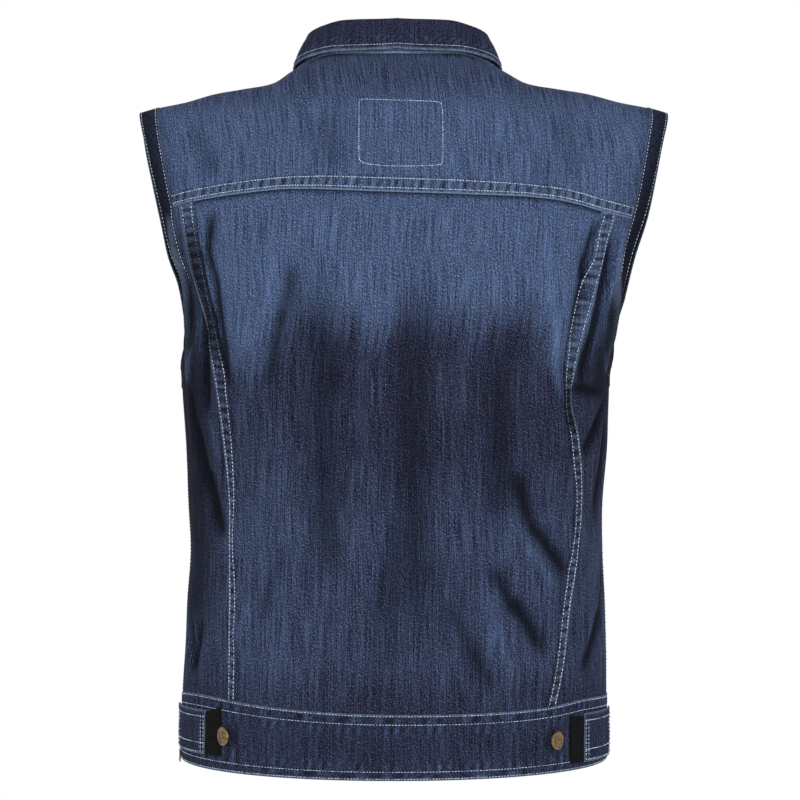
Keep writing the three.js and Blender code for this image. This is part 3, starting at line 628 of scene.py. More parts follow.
# %% Necklines, the yoke's seam and the long seams
def neckline(turn, deepest=BACK_NECK_ANGLE):
    """Angle on the arch of the neckline: an oval from the shoulder seams to its deepest point."""
    out = np.minimum(np.abs(turn) / NECK_TURN, 1)
    return lerp(SHOULDER_SEAM_ANGLE, deepest, np.sqrt(1 - out * out))


def yoke_seam_reach(turn):
    return reach_back(turn, along(yoke_seam, "turn", "z", turn))


def seam_turn(side, z):
    return turn_at(along(side_seams, "z", side, z), z)


print("the yoke's seam at mid back lies at", float(yoke_seam_reach(0.0)), "mm of reach")

# %% [markdown]
# ## Where each panel lies
#
# A panel is a rule that turns two numbers, across and up, into a place on the body. The numbers follow
# the panel's own edges, so that its grid lines run along its seams, as the cutter's lines do.


# %% Yoke and back panels
def place_yoke(turn, rise):
    """Up from the seam at its foot to the neckline and the shoulder seams, as wide as the bands allow."""
    share, side = np.abs(turn) / BAND_TIP_TURN, np.sign(turn)
    top = reach_at_angle(neckline(turn)) - VISIBLE_GAP
    corner = np.where(side < 0, back_band_turn(yoke_seam_reach(-YOKE_END_TURN)),
                      back_band_turn(yoke_seam_reach(YOKE_END_TURN))) - GAP_TURN
    foot = yoke_seam_reach(side * share * corner) + VISIBLE_GAP
    reach = lerp(foot, top, rise)
    return side * share * (back_band_turn(reach) - GAP_TURN), reach


def back_reach(turn, row):
    """Row 0 to 1 is up to the armhole, 1 to 2 beside its round end, and 2 to 3 up to the yoke."""
    low = lerp(waist_top(turn) + VISIBLE_GAP, BAND_LOWEST, row)
    up = 1 - np.cos(np.radians(90 * np.clip(row - 1, 0, 1)))
    beside = reach_back(turn, BAND_LOWEST + BAND_ROUND * up)
    above = reach_back(turn, UNDERARM + ARMHOLE_RISE)
    high = lerp(above, yoke_seam_reach(turn) - VISIBLE_GAP, row - 2)
    return np.where(row <= 1, low, np.where(row <= 2, beside, high))


def back_height(row):
    forty = np.full(np.shape(row), 40.0)
    return form(forty, back_reach(forty, row))[..., 2]


def place_back(share, row):
    z = back_height(row)
    turn = lerp(seam_turn("right", z) + GAP_TURN, seam_turn("left", z) - GAP_TURN, share)
    return turn, back_reach(turn, row)


def place_side_back(side):
    sign = SIDES[side]
    corner = float(back_band_turn(yoke_seam_reach(sign * YOKE_END_TURN)))

    def place(share, row):
        z = back_height(row)
        seam = np.abs(seam_turn(side, z)) + GAP_TURN
        outer = np.where(row <= 1, 90, inner_turn("back", z))
        outer = np.where(row > 2, lerp(90 - SWEEP["back"] - BAND_TURN, corner, row - 2), outer)
        turn = sign * lerp(seam, outer - GAP_TURN, share)
        return turn, back_reach(turn, row)
    return place


def panel_rows(top_length, round_count=28, step=GRID):
    """Rows up the straight side, round the foot of the armhole and beside it to the top."""
    rows = np.concatenate([stations(SIDE_LENGTH, step)[:-4], 1 + np.linspace(0, 1, round_count)[:-1],
                           2 + stations(top_length, step)[4:]])
    return np.concatenate([rows[rows < 0.995], rows[rows >= 1]])


SIDE_LENGTH = 287
BACK_TOP_LENGTH = 88
FRONT_TOP_LENGTH = 240
back_rows = panel_rows(BACK_TOP_LENGTH)
neck_turns = NECK_TURN * np.sin(np.radians(np.linspace(0, 90, 26)))
shoulder_turns = NECK_TURN + (BAND_TIP_TURN - NECK_TURN) * stations(150)[1:]
yoke_turns = np.concatenate([-shoulder_turns[::-1], -neck_turns[:0:-1], neck_turns, shoulder_turns])
panel = dict(inner=even(-PANEL_HALF), outer=even(PANEL_HALF))


def yoke_looks(a, b, u, v, edge, values):
    """Paler puckers stand above the felled strip."""
    pucker = np.exp(-((v - 12.5) / 3.5) ** 2) * np.clip(uneven_wave(u, 8.5, 1.3), 0, 1)
    return dict(values, wear=np.clip(values["wear"] + 0.4 * pucker, 0, 1))


def back_looks(a, b, u, v, edge, values):
    """A line of shade lies under the strip along the top."""
    shade = np.exp(-((v.max(axis=0) - v - 2.0) / 1.4) ** 2)
    return dict(values, hollow=np.clip(values["hollow"] + shade, 0, 1))


sew("denim_yoke", place_yoke, yoke_turns, stations(150), node="yoke", slot="denim_faded",
    looks=yoke_looks, **panel)
sew("denim_back", place_back, stations(330), back_rows, node="back_panel", slot="denim_panel",
    looks=back_looks, **panel)
for side in SIDES:
    sew(f"denim_side_back_{side}", place_side_back(side), stations(125), back_rows,
        node=f"side_back_{side}", looks=looks_of(0.8), **panel)
print_flat("yoke and back, mm:", "yoke", "back")


# %% Fronts
def placket_turn(z, edge):
    return angle_for_share(edge / along(sections, "z", "half", z))


def front_side(row):
    """Turn and reach of the front's outer edge. Rows count as on the back."""
    low = REACH_END - lerp(waist_top(90.0) + VISIBLE_GAP, BAND_LOWEST, row)
    round_turn, round_z = round_end("front", 90 * np.clip(row - 1, 0, 1))[1]
    high_turn, high_reach = straight_side("front", np.clip(row - 2, 0, 1))[1]
    turn = np.where(row <= 1, 90, np.where(row <= 2, round_turn, high_turn))
    reach = np.where(row <= 1, low, np.where(row <= 2, reach_front(round_turn, round_z), high_reach))
    return turn, reach


def place_front(sign, edge):
    foot_side, top_side = front_side(0.0)[1], front_side(3.0)[1]
    edge_top = float(placket_turn(FRONT_NECK_HEIGHT, edge))

    def place(top_turn, row):
        side_turn, side_reach = front_side(row)
        rise = (side_reach - foot_side) / (top_side - foot_side)
        share = (top_turn - edge_top) / (BAND_TIP_TURN - edge_top)
        top = reach_at_angle(neckline(top_turn, FRONT_NECK_ANGLE)) + VISIBLE_GAP
        foot_turn = lerp(placket_turn(60, edge), 90, share)
        foot = REACH_END - waist_top(180 - foot_turn) - VISIBLE_GAP
        reach = lerp(foot, top, rise)
        z = form(top_turn, reach)[..., 2]
        turn = lerp(placket_turn(z, edge) + GAP_TURN, side_turn - GAP_TURN, share)
        return sign * turn, reach
    return place


front_rows = panel_rows(FRONT_TOP_LENGTH)
front_edges = {"left": PLACKET_HALF, "right": PLACKET_HALF + 2}
for side, sign in SIDES.items():
    first = float(placket_turn(FRONT_NECK_HEIGHT, front_edges[side]))
    start = np.degrees(np.arcsin(first / NECK_TURN))
    turns = NECK_TURN * np.sin(np.radians(np.linspace(start, 90, 24)))
    turns = np.concatenate([turns, shoulder_turns])
    sew(f"denim_front_{side}", place_front(sign, front_edges[side]), turns, front_rows,
        node=f"front_{side}", slot="denim_panel", **panel)
print_flat("fronts, mm:", "front")

# %% [markdown]
# ## Placket, waistband and armhole bands
#
# These are doubled strips, so they are thicker and their edges are rounder. In front the left end of
# the band lies over the right one: there the left is lifted and the right pressed in. Each armhole band
# is one closed ring, which runs up the back of the opening and down its front.

# %% Placket and waistband
def place_placket(x, rise):
    top = reach_at_angle(neckline(placket_turn(FRONT_NECK_HEIGHT, x), FRONT_NECK_ANGLE)) + VISIBLE_GAP
    reach = lerp(REACH_END - WAIST_TOP - VISIBLE_GAP, top, rise)
    return placket_turn(form(0 * reach, reach)[..., 2], x), reach


placket_faces = {"left": (-20, 19.9, -0.15, 2.5), "right": (-21.9, 18, -3.0, -0.45)}
for side, (first, last, low, high) in placket_faces.items():
    sew(f"denim_placket_{side}", place_placket, lerp(first, last, stations(40)), stations(500, 5.0),
        inner=even(low), outer=even(high), node=f"placket_{side}", slot="denim_panel")
# Rows of stitches that gather the band: distance from the top edge, width and spacing, in mm
WAIST_ROPES = ((5.4, 2.4, 5.6), (14, 3.6, 8.2), (47, 3.6, 9.4), (55, 2.2, 5.2))


def place_waist(turn, rise):
    return turn, lerp(hem(turn), waist_top(turn) - VISIBLE_GAP, rise)


def waist_lift(sign, turn):
    """Out for the left end in front and in for the right one, so that they overlap."""
    return sign * 1.75 * smooth_step(np.abs(turn), 160, 171)


def band_swell(rise):
    """The band is turned in at both edges, so it is thickest a little inside them."""
    near = np.minimum(rise, 1 - rise)
    return 0.28 * np.exp(-((near - 0.09) / 0.05) ** 2)


band_rises = stations(58, 2.4)
waist_turns = {"back": lerp(-90 + GAP_TURN, 90 - GAP_TURN, stations(560)),
               "left": lerp(90 + GAP_TURN, 185.9, stations(300)),
               "right": lerp(-90 - GAP_TURN, -184.9, stations(300))}
for side, turns in waist_turns.items():
    sign = SIDES.get(side, 0)
    sew(f"denim_waistband_{side}", place_waist, turns, band_rises,
        inner=lambda a, b, s=sign: waist_lift(s, a) - BAND_HALF,
        outer=lambda a, b, s=sign: waist_lift(s, a) + BAND_HALF - 0.25 + band_swell(b),
        node=f"waistband_{side}", looks=roped(looks_of(0.3, 0.7), WAIST_ROPES))
print_flat("plackets and waistbands, mm:", "placket", "waistband")


# %% Armhole bands
def band_lines(station):
    """Edge and inner line all round: 0 to 1 round end and 1 to 2 side of the back, then the front."""
    edges, inners = np.zeros(station.shape + (2,)), np.zeros(station.shape + (2,))
    for face, first in (("back", 0), ("front", 2)):
        t = station - first if face == "back" else 4 - station
        chosen = (station < 2) if face == "back" else (station >= 2)
        ends = round_end(face, 90 * np.clip(t, 0, 1))
        sides = straight_side(face, np.clip(t - 1, 0, 1))
        for held, at_end, at_side in ((edges, ends[0], sides[0]), (inners, ends[1], sides[1])):
            turn = np.where(t <= 1, at_end[0], at_side[0])
            reach = np.where(t <= 1, TO_REACH[face](at_end[0], at_end[1]), at_side[1])
            held[chosen] = np.stack([turn, reach], -1)[chosen]
    return edges, inners


def place_band(sign):
    def place(station, share):
        edge, inner = band_lines(station)
        return sign * lerp(inner[..., 0], edge[..., 0], share), lerp(inner[..., 1], edge[..., 1], share)
    return place


def band_looks(a, b, u, v, edge, values):
    """Dark with a rubbed edge, and painted shade low down at the foot of the armhole, where the band lies
    deep in shade.
    """
    shown = looks_of(0.12, 0.55)(a, b, u, v, edge, values)
    # Painted shade at the foot of the armhole, with no rubbing there.
    low = 0.8 * (1 - smooth_step(np.where(a < 2, a, 4 - a), 0.7, 1.5))
    return dict(shown, wear=shown["wear"] * (1 - low), hollow=np.clip(values["hollow"] + low, 0, 1))


quarter = np.linspace(0, 1, 40, endpoint=False)
band_stations = np.concatenate([quarter, 1 + np.linspace(0, 1, 56, endpoint=False),
                                2 + np.linspace(0, 1, 56, endpoint=False), 3 + quarter])
for side, sign in SIDES.items():
    sew(f"denim_armhole_band_{side}", place_band(sign), band_stations, stations(22, 2.6),
        inner=even(-1.2), outer=lambda a, b: 1.15 + band_swell(b), closed=True,
        node=f"armhole_band_{side}", looks=band_looks)
print_flat("armhole bands, mm:", "armhole")

# %% [markdown]
# ## Collar
#
# The stand rises from the neckline and leans in, turns over in a soft roll, and comes down as a leaf
# that lies just off the yoke. One grid follows that path, from the seam to the edge of the leaf.

# %% Collar sections, by the share of the way round the neck
collar_sections = dict(
    run=[0, 0.22, 0.42, 0.52, 0.65, 0.8, 0.98],
    stand=[29, 28.5, 35, 31, 27, 23, 20],
    lean=[8, 12, 17, 16, 13, 9, 6],
    turn=[0, 0.6, -0.6, 0.4, 5.5, 9.5, 10],
    fall=[-1.0, -4.5, 0.5, 4, 5, 9, 13],
    off=[6, 5, 3.8, 3.8, 4, 4.2, 4.2],
)
ROLL_RADIUS = 3.6
COLLAR_SEAT = 0.2
NECK_SHARE = 0.42
COLLAR_HALF = 1.15
COLLAR_ROPES = ((3.7, 1.5, 5.2), (10.5, 3.2, 8.0))


def unit(vector):
    return vector / np.linalg.norm(vector, axis=-1, keepdims=True)


def neck_place(run):
    """Side, turn and angle of a place round the neck: run counts from mid back, 1 at the front edge."""
    side, size = np.where(run < 0, -1.0, 1.0), np.abs(run)
    behind = np.radians(90 * np.minimum(size / NECK_SHARE, 1))
    before = np.radians(90 * np.clip((size - NECK_SHARE) / (1 - NECK_SHARE), 0, 1))
    back_turn = NECK_TURN * np.sin(behind)
    turn = np.where(size <= NECK_SHARE, back_turn, NECK_TURN * np.cos(before))
    angle = np.where(size <= NECK_SHARE, neckline(back_turn),
                     lerp(SHOULDER_SEAM_ANGLE, FRONT_NECK_ANGLE, np.sin(before)))
    return side, turn, angle


def collar_shape(run, rise):
    """Rise 0 to 1 goes up the stand, 1 to 2 over the roll, and 2 to 3 down the leaf."""
    run, rise = np.broadcast_arrays(np.asarray(run, float), np.asarray(rise, float))
    side, turn, angle = neck_place(run)
    at = {key: along(collar_sections, "run", key, np.abs(run)) for key in collar_sections}
    foot = cloth(side * turn, reach_at_angle(angle))
    away = unit(foot * [1, 1, 0] + [0, 10, 0])
    up = np.array([0, 0, 1.0]) * at["stand"][..., None] - away * at["lean"][..., None]
    roll = foot + up
    seat = foot + unit(up) * COLLAR_SEAT
    leaf_turn, leaf_reach = side * (turn + at["turn"]), reach_at_angle(angle + at["fall"])
    leaf = lifted(leaf_turn, leaf_reach, at["off"])[0]
    inside, outside = roll - away * ROLL_RADIUS, roll + away * ROLL_RADIUS
    low = np.clip(rise, 0, 1)[..., None]
    arc = np.radians(180 * (2 - np.clip(rise, 1, 2)))[..., None]
    t = np.clip(rise - 2, 0, 1)[..., None]
    stand = lerp(seat, inside, low)
    turned = roll + ROLL_RADIUS * (away * np.cos(arc) + np.array([0, 0, 1.0]) * np.sin(arc))
    belly = (outside + leaf) / 2 + away * 2.5 + np.array([0, 0, 1.5])
    fallen = outside * (1 - t) ** 2 + belly * 2 * t * (1 - t) + leaf * t * t
    return np.where(rise[..., None] <= 1, stand, np.where(rise[..., None] >= 2, fallen, turned))


def on_collar(run, rise):
    along_run = collar_shape(run + 0.004, rise) - collar_shape(run - 0.004, rise)
    along_rise = collar_shape(run, rise + 0.01) - collar_shape(run, rise - 0.01)
    return collar_shape(run, rise), unit(np.cross(along_rise, along_run))


def collar_looks(a, b, u, v, edge, values):
    """Dark, with a rubbed edge, and worn pale along the foot that shows under the leaf."""
    shown = looks_of(0.0, 1.0, 1.5)(a, b, u, v, edge, values)
    foot = np.exp(-(v / 6.5) ** 4)
    worn = foot * (0.34 + 0.2 * uneven_wave(u, 6.2, 4.0))
    return dict(shown, fade=0.75 * foot, wear=np.clip(shown["wear"] + worn, 0, 1))


collar_runs = lerp(-0.98, 0.98, stations(560, 3.4))
collar_rises = np.concatenate([stations(36, 3)[:-4], np.linspace(1, 2, 12)[:-1],
                               2 + stations(36, 2.6)[4:]])
collar = make_wall("denim_collar", on_collar, collar_runs, collar_rises, inner=even(-COLLAR_HALF),
                   outer=even(COLLAR_HALF), looks=roped(collar_looks, COLLAR_ROPES))
wear_pieces(collar, "collar", slot="denim_dark")
print_flat("collar, mm:", "collar")

# %% [markdown]
# ## Felled seams
#
# At a flat-felled seam the edges are locked together and stitched down, which leaves a raised strip on
# one side. Here it lies on the yoke along its foot, and on the back panel along the two long seams. A
# strip is a thin wall of its own on the panel: it puckers between its stitches, and its outer edge,
# which rubs, is worn pale. Its width is the width that shows, which changes as the seam turns away.

# %% The strips
STRIP_LOW, STRIP_HIGH = 0.3, 1.75
YOKE_STRIP = 9.2
seam_strips = dict(
    z=[56, 98, 155, 191, 215, 245, 290, 334, 378, 432, 470, 512],
    left=[5.6, 6.0, 6.4, 3.6, 3.2, 5.2, 8.8, 10.8, 11.6, 11.8, 12.4, 14.0],
    right=[7.4, 7.6, 7.6, 7.2, 6.4, 6.4, 8.0, 7.2, 12.2, 17.0, 11.6, 12.8],
)


def puckers(along_mm, across, seed):
    """Small ridges across a strip where its stitches gather it, a little uneven."""
    wave = np.sin(along_mm * 0.74 + 1.7 * np.sin(along_mm * 0.083 + seed) + seed)
    slow = np.sin(along_mm * 0.31 + 2.1 * seed)
    return 0.20 * wave * (0.65 + 0.35 * slow) * np.sin(np.pi * np.clip(across, 0, 1))


def place_yoke_strip(share, rise):
    turn, foot = place_yoke(lerp(-BAND_TIP_TURN, BAND_TIP_TURN, share), 0.0)
    return turn, foot - 0.8 + rise * (YOKE_STRIP + 0.8)


def place_seam_strip(side):
    sign = SIDES[side]

    def place(across, row):
        z = back_height(row)
        edge = along(side_seams, "z", side, z) + sign * 0.7
        width = along(seam_strips, "z", side, z) + 0.7
        turn = turn_at(edge - sign * (1 - across) * width, z)
        return turn, back_reach(turn, row)
    return place


def strip_looks(run_axis, worn_side, seed, shade=None):
    """Worn along one long edge, with paler blocks where the puckers stand up and painted shade between them,
    and painted shade where folds hide the strip.
    """
    def looks(a, b, u, v, edge, values):
        shaded = shade(back_height(b)) if shade else 0.0
        run, across = (u, v) if run_axis == "u" else (v, u)
        width = across.max(axis=0 if run_axis == "u" else 1, keepdims=True)
        from_edge = across if worn_side == "low" else width - across
        rub = np.exp(-(from_edge / 0.9) ** 2)
        blocks = puckers(run, across / np.maximum(width, 1), seed) / 0.20
        worn = values["wear"] * 0.5 + 0.95 * rub + 0.4 * np.clip(blocks, 0, 1) * (1 - shaded)
        return dict(wear=np.clip(worn, 0, 1), fade=values["fade"] * (0.8 - 0.5 * shaded),
                    hollow=np.clip(values["hollow"] + np.clip(-blocks, 0, 1) + shaded, 0, 1))
    return looks


sew("seam_yoke", place_yoke_strip, stations(640, 2.2), stations(YOKE_STRIP, 1.6),
    inner=even(STRIP_LOW), outer=lambda a, b: STRIP_HIGH + puckers(a * 530, b, 0.4),
    slot="denim_faded", looks=strip_looks("u", "low", 0.4))
strip_rows = panel_rows(BACK_TOP_LENGTH, 48, 2.2)
# Painted shade on each long seam's strip, by height, where folds hide it in shade.
seam_shades = {
    "left": lambda z: 0.75 * smooth_step(z, 350, 392) * (1 - smooth_step(z, 466, 512)),
    "right": lambda z: 0.75 * smooth_step(z, 296, 314) * (1 - smooth_step(z, 336, 356)),
}
for side, seed in (("left", 1.1), ("right", 2.6)):
    sew(f"seam_back_{side}", place_seam_strip(side), stations(8, 1.3), strip_rows,
        inner=even(STRIP_LOW), outer=lambda a, b, s=seed: STRIP_HIGH - 0.1 + puckers(b * 170, a, s),
        slot="denim_panel", looks=strip_looks("v", "high", seed, seam_shades[side]))
print_flat("strips, mm:", "seam")

# %% [markdown]
# ## Side adjusters and the leather tag
#
# A denim tab is sewn onto the waistband near each side seam. Beside its free end a near-black strip
# stands for the shadow that the lifted tab casts on the band: a painted shadow, and a shank button
# stands on it. The band is pulled there, so the tab lies a little wavy. A small plain leather tag sits
# at the corner of the hem.

# %% Tabs, strips of painted shadow, and tag
ON_BAND = 1.8
STRAP_FACE = ON_BAND + 1.35
adjusters = {
    "left": dict(button=(45.2, 34), strap=(48, 54.4), strap_rise=(15, 59, 6), tab=82, low=15, high=55),
    "right": dict(button=(-42.6, 31), strap=(-49, -54.9), strap_rise=(8, 51, 2), tab=-82, low=8, high=52),
}
shadow_straps = []


def place_strap(sizes):
    (start, end), (low, high, drop) = sizes["strap"], sizes["strap_rise"]
    return lambda turn, rise: (turn, lerp(low, high - drop * (turn - start) / (end - start), rise))


def place_tab(sizes):
    return lambda turn, rise: (turn, lerp(sizes["low"], sizes["high"], rise))


for side, sizes in adjusters.items():
    start, end = sizes["strap"]
    # A near-black strip where the lifted tab casts its shadow on the band: a painted shadow, on which the
    # button stands.
    shadow_straps.append(sew(
        f"strap_{side}", place_strap(sizes), lerp(start, end + np.sign(end) * 0.3, stations(24, 1.6)),
        stations(44, 1.6), inner=even(ON_BAND), outer=lambda a, b: STRAP_FACE + 0.15 * np.sin(b * 9),
        node=f"adjuster_strap_{side}", slot="black_strap"))
    sew(f"denim_tab_{side}", place_tab(sizes), lerp(end, sizes["tab"], stations(66, 2.4)),
        stations(44, 2.4), inner=even(ON_BAND + 0.1),
        outer=lambda a, b: 3.7 + 0.3 * np.sin(a * 0.55) + 0.2 * np.sin(b * 11 + a * 0.2),
        node=f"adjuster_tab_{side}", looks=looks_of(0.3, 0.75))


def place_tag(turn, rise):
    return turn, lerp(0.5, 12, rise)


hem_tag = sew("leather_tag", place_tag, lerp(80, 98, stations(50, 1.6)), stations(12, 1.6),
              inner=even(ON_BAND), outer=even(ON_BAND + 1.3), node="hem_tag", slot="leather")
print_flat("small pieces, mm:", "strap", "tab", "tag")

# %% [markdown]
# ## Buttons
#
# A shank button is pressed brass: a domed cap with a rolled rim, and a post that goes through the
# cloth. One is modelled by hand from a cylinder, with insets, extrusions and a bevel, and then copied
# to each place, turned to stand out from the cloth there.

# %% One shank button, in metres
BUTTON_RADIUS = 0.0085
CAP_THICKNESS = 0.0021
CAP_RISE = 0.00135
CAP_RINGS = ((0.0016, 0.00045), (0.0009, -0.0005), (0.0016, 0), (0.0005, 0.0003), (0.0019, 0.0001))
POST_INSET = 0.0051
POST_SINK = 0.0003


def only_faces(test):
    """Select the faces of the mesh in edit mode whose middle and normal pass a test."""
    bpy.ops.mesh.select_all(action="DESELECT")
    bpy.ops.object.mode_set(mode="OBJECT")
    for face in bpy.context.object.data.polygons:
        face.select = test(face.center, face.normal)
    bpy.ops.object.mode_set(mode="EDIT")


def model_button(shank):
    """A cap of 17 mm on a post, by hand in edit mode. The post's height is the shank, in metres."""
    bpy.ops.object.select_all(action="DESELECT")
    bpy.ops.mesh.primitive_cylinder_add(vertices=48, radius=BUTTON_RADIUS, depth=CAP_THICKNESS,
                                        location=(0, 0, shank + CAP_RISE))
    made = bpy.context.object
    bpy.ops.object.mode_set(mode="EDIT")
    bpy.ops.mesh.select_mode(type="FACE")
    only_faces(lambda middle, normal: normal.z > 0.9)
    for thickness, rise in CAP_RINGS:
        bpy.ops.mesh.inset(thickness=thickness)
        bpy.ops.transform.translate(value=(0, 0, rise))
    only_faces(lambda middle, normal: normal.z < -0.9)
    bpy.ops.mesh.inset(thickness=POST_INSET)
    bpy.ops.mesh.extrude_region_move(TRANSFORM_OT_translate={"value": (0, 0, -shank - POST_SINK)})
    bpy.ops.object.mode_set(mode="OBJECT")
    bevel = made.modifiers.new("rolled rim", "BEVEL")
    bevel.width = 0.00035
    bevel.segments = 3
    bevel.limit_method = "ANGLE"
    bevel.angle_limit = 0.6
    bpy.ops.object.modifier_apply(modifier=bevel.name)
    bpy.ops.object.transform_apply(location=True, rotation=True, scale=True)
    bpy.ops.object.shade_smooth_by_angle(angle=np.radians(40))
    return made


SHORT_SHANK, LONG_SHANK = 0.0016, 0.0032
models = {shank: model_button(shank) for shank in (SHORT_SHANK, LONG_SHANK)}
print("button faces:", [len(model.data.polygons) for model in models.values()])

# %% The buttons in their places
PLACKET_FACE = 2.5
OVERLAP_LIFT = 1.75
ADJUSTER_TILT = 22
button_places = {"waist_button": (0.0, REACH_END - WAIST_TOP / 2, BAND_HALF + OVERLAP_LIFT, 0)}
for number, z in enumerate(np.linspace(92, 536, 5), start=1):
    button_places[f"front_button_{number}"] = (0.0, float(reach_front(0.0, z)), PLACKET_FACE, 0)
for side, sizes in adjusters.items():
    turn, z = sizes["button"]
    button_places[f"adjuster_button_{side}"] = (turn, z, STRAP_FACE, -np.sign(turn) * ADJUSTER_TILT)
buttons = []
for node, (turn, reach, standing, tilt) in button_places.items():
    spots, ways = lifted(np.array([turn]), np.array([reach]), standing)
    axis = Matrix.Rotation(np.radians(tilt), 3, "Z") @ Vector(ways[0])
    model = models[LONG_SHANK if tilt else SHORT_SHANK]
    placed = model.copy()
    placed.data = model.data.copy()
    placed.name = placed.data.name = "brass_" + node
    bpy.context.collection.objects.link(placed)
    turned = Vector((0, 0, 1)).rotation_difference(axis).to_matrix().to_4x4()
    placed.data.transform(Matrix.Translation(Vector(to_metres(spots[0]))) @ turned)
    wear_pieces(placed, node, slot="brass")
    buttons.append(placed)
for model in models.values():
    bpy.data.objects.remove(model)
print("buttons:", len(buttons))

# %% [markdown]
# ## Stitches
#
# Topstitching is what makes denim read as sewn. A dashed line in the material would be flat, so each
# stitch is a tiny rounded bar that dips into the cloth at both ends. All stitches of a seam are made in
# one array calculation and joined into one mesh. A row follows the cloth on a list of places.

# %% Stitch maker
PITCH = 3.4
FILLED = 0.7
THREAD = 0.36
FINE_THREAD = 0.28
SINK = 0.12
# Each ring of a stitch: its share of the length, its rise in threads and its thickness
STITCH_RINGS = ((-0.5, -1.4, 0.55), (-0.27, 0.35, 1.0), (0.27, 0.35, 1.0), (0.5, -1.4, 0.55))
chance = np.random.default_rng(7)
stitch_sets = {}


def row_on(place, a, b, lift, count=700):
    """A dense line on a cloth patch between places (a, b), lifted off its surface."""
    share = np.linspace(0, 1, count)
    a_line = np.interp(share, np.linspace(0, 1, len(np.atleast_1d(a))), np.atleast_1d(a))
    b_line = np.interp(share, np.linspace(0, 1, len(np.atleast_1d(b))), np.atleast_1d(b))
    turn, reach = place(a_line, b_line)
    turn, reach = np.broadcast_arrays(turn, reach)
    return lifted(turn, reach, lift)


def collar_row(runs, rise, lift, count=700):
    run = np.linspace(runs[0], runs[1], count)
    point, way = on_collar(run, np.full(count, rise))
    return point + way * lift, way


def stitch_bodies(points, ways, pitch, thread, filled):
    """Corners of the stitches along one row: four rings of four corners for each."""
    length = np.concatenate([[0], np.cumsum(np.linalg.norm(np.diff(points, axis=0), axis=1))])
    count = int(length[-1] / pitch)
    centre = (np.arange(count) + 0.5) * pitch + chance.normal(0, 0.05 * pitch, count)
    long_ = pitch * filled * (1 + chance.normal(0, 0.08, count))
    slant = chance.normal(0, 0.07, count)
    rings = []

    def on_row(at, values):
        at = np.clip(at, 0, length[-1])
        return np.stack([np.interp(at, length, values[:, k]) for k in range(3)], -1)

    for step, rise, thick in STITCH_RINGS:
        at = np.clip(centre + step * long_, 0, length[-1])
        spot = on_row(at, points)
        way = unit(on_row(at, ways))
        side = unit(np.cross(way, on_row(at + 0.5, points) - on_row(at - 0.5, points)))
        spot = spot + side * (slant * step * long_)[:, None] + way * (rise * thread - SINK * 0.5)
        size = thread * thick
        rings.append(np.stack([spot + side * size, spot + way * size, spot - side * size,
                               spot - way * size], 1))
    return np.concatenate(rings, axis=1)


def stitch_mesh(name, rows, owner, pitch=PITCH, thread=THREAD, filled=FILLED, light=None):
    """Join the stitches of some rows into one piece that belongs to a cloth piece."""
    bodies = np.concatenate([stitch_bodies(*row, pitch, thread, filled) for row in rows])
    faces = []
    for ring in range(3):
        for k in range(4):
            a, b = ring * 4 + k, ring * 4 + (k + 1) % 4
            faces.append((a, b, b + 4, a + 4))
    faces += [(3, 2, 1, 0), (12, 13, 14, 15)]
    faces = np.array(faces)
    count = len(bodies)
    all_faces = (np.arange(count)[:, None, None] * 16 + faces).reshape(-1, 4)
    corners = bodies.reshape(-1, 3)
    p, q, r = (corners[all_faces[:, k]] for k in range(3))
    if np.einsum("ij,ij->", p - corners.mean(0), np.cross(q - p, r - p)) < 0:
        all_faces = all_faces[:, ::-1]
    mesh = bpy.data.meshes.new(name)
    mesh.from_pydata(to_metres(corners).tolist(), [], all_faces.tolist())
    tone = mesh.attributes.new("tone", "FLOAT", "POINT")
    # Each stitch's own random tone, times painted shade from light where the row lies in shade.
    tones_and_shade = (0.35 + 0.65 * chance.random(count)) * (light(bodies[:, 0, 2]) if light else 1)
    tone.data.foreach_set("value", np.repeat(tones_and_shade, 16))
    mesh.shade_smooth()
    stitch_sets.setdefault(owner, []).append(add_object(name, mesh))


# %% Stitches of the yoke and the long seams
ON_PANEL = PANEL_HALF + 0.12
ON_STRIP = STRIP_HIGH + 0.10
yoke_rows = [row_on(place_yoke_strip, [0.003, 0.997], rise, ON_STRIP) for rise in (0.24, 0.84)]
stitch_mesh("stitches_yoke_seam", yoke_rows, "seam_yoke", pitch=2.6, filled=0.88)
for side in SIDES:
    place = place_seam_strip(side)
    rows = [row_on(place, across, [0.004, 2.99], ON_STRIP) for across in (0.2, 0.83)]
    # These stitches take the same painted shade as their strip.
    stitch_mesh(f"stitches_back_{side}", rows, f"seam_back_{side}",
                light=lambda z, s=side: 1 - seam_shades[s](z))


# %% The bare rectangle of stitches on the yoke, and the rows beside the shoulder seams
def yoke_spot(x, z):
    turn = turn_at(x, z)
    return turn, reach_back(turn, z)


rectangle = [(36.6, 598.5), (35.9, 602.2), (30, 602.6), (-31, 600.4), (-36.6, 599.2), (-37.9, 593),
             (-38.2, 548), (-36.6, 542.6), (-30, 541.6), (-5, 540.8), (14.5, 541.2), (31, 543.6),
             (35.8, 546.4), (36.4, 551), (36.6, 598.5)]
corner_x, corner_z = np.array(rectangle).T
distance = np.concatenate([[0], np.cumsum(np.hypot(np.diff(corner_x), np.diff(corner_z)))])
dense = np.linspace(0, distance[-1], 900)
spots = yoke_spot(np.interp(dense, distance, corner_x), np.interp(dense, distance, corner_z))
stitch_mesh("stitches_rectangle", [lifted(*spots, ON_PANEL)], "denim_yoke", pitch=2.4, thread=0.34,
            filled=0.9)
shoulder_rows = []
for sign in (-1, 1):
    for away in (1.8, 7.6):
        turns = np.linspace(NECK_TURN + 0.6, BAND_TIP_TURN - 0.7, 400) * sign
        shoulder_rows.append(lifted(turns, np.full(400, BAND_TOP - away), ON_PANEL))
stitch_mesh("stitches_shoulders", shoulder_rows, "denim_yoke")


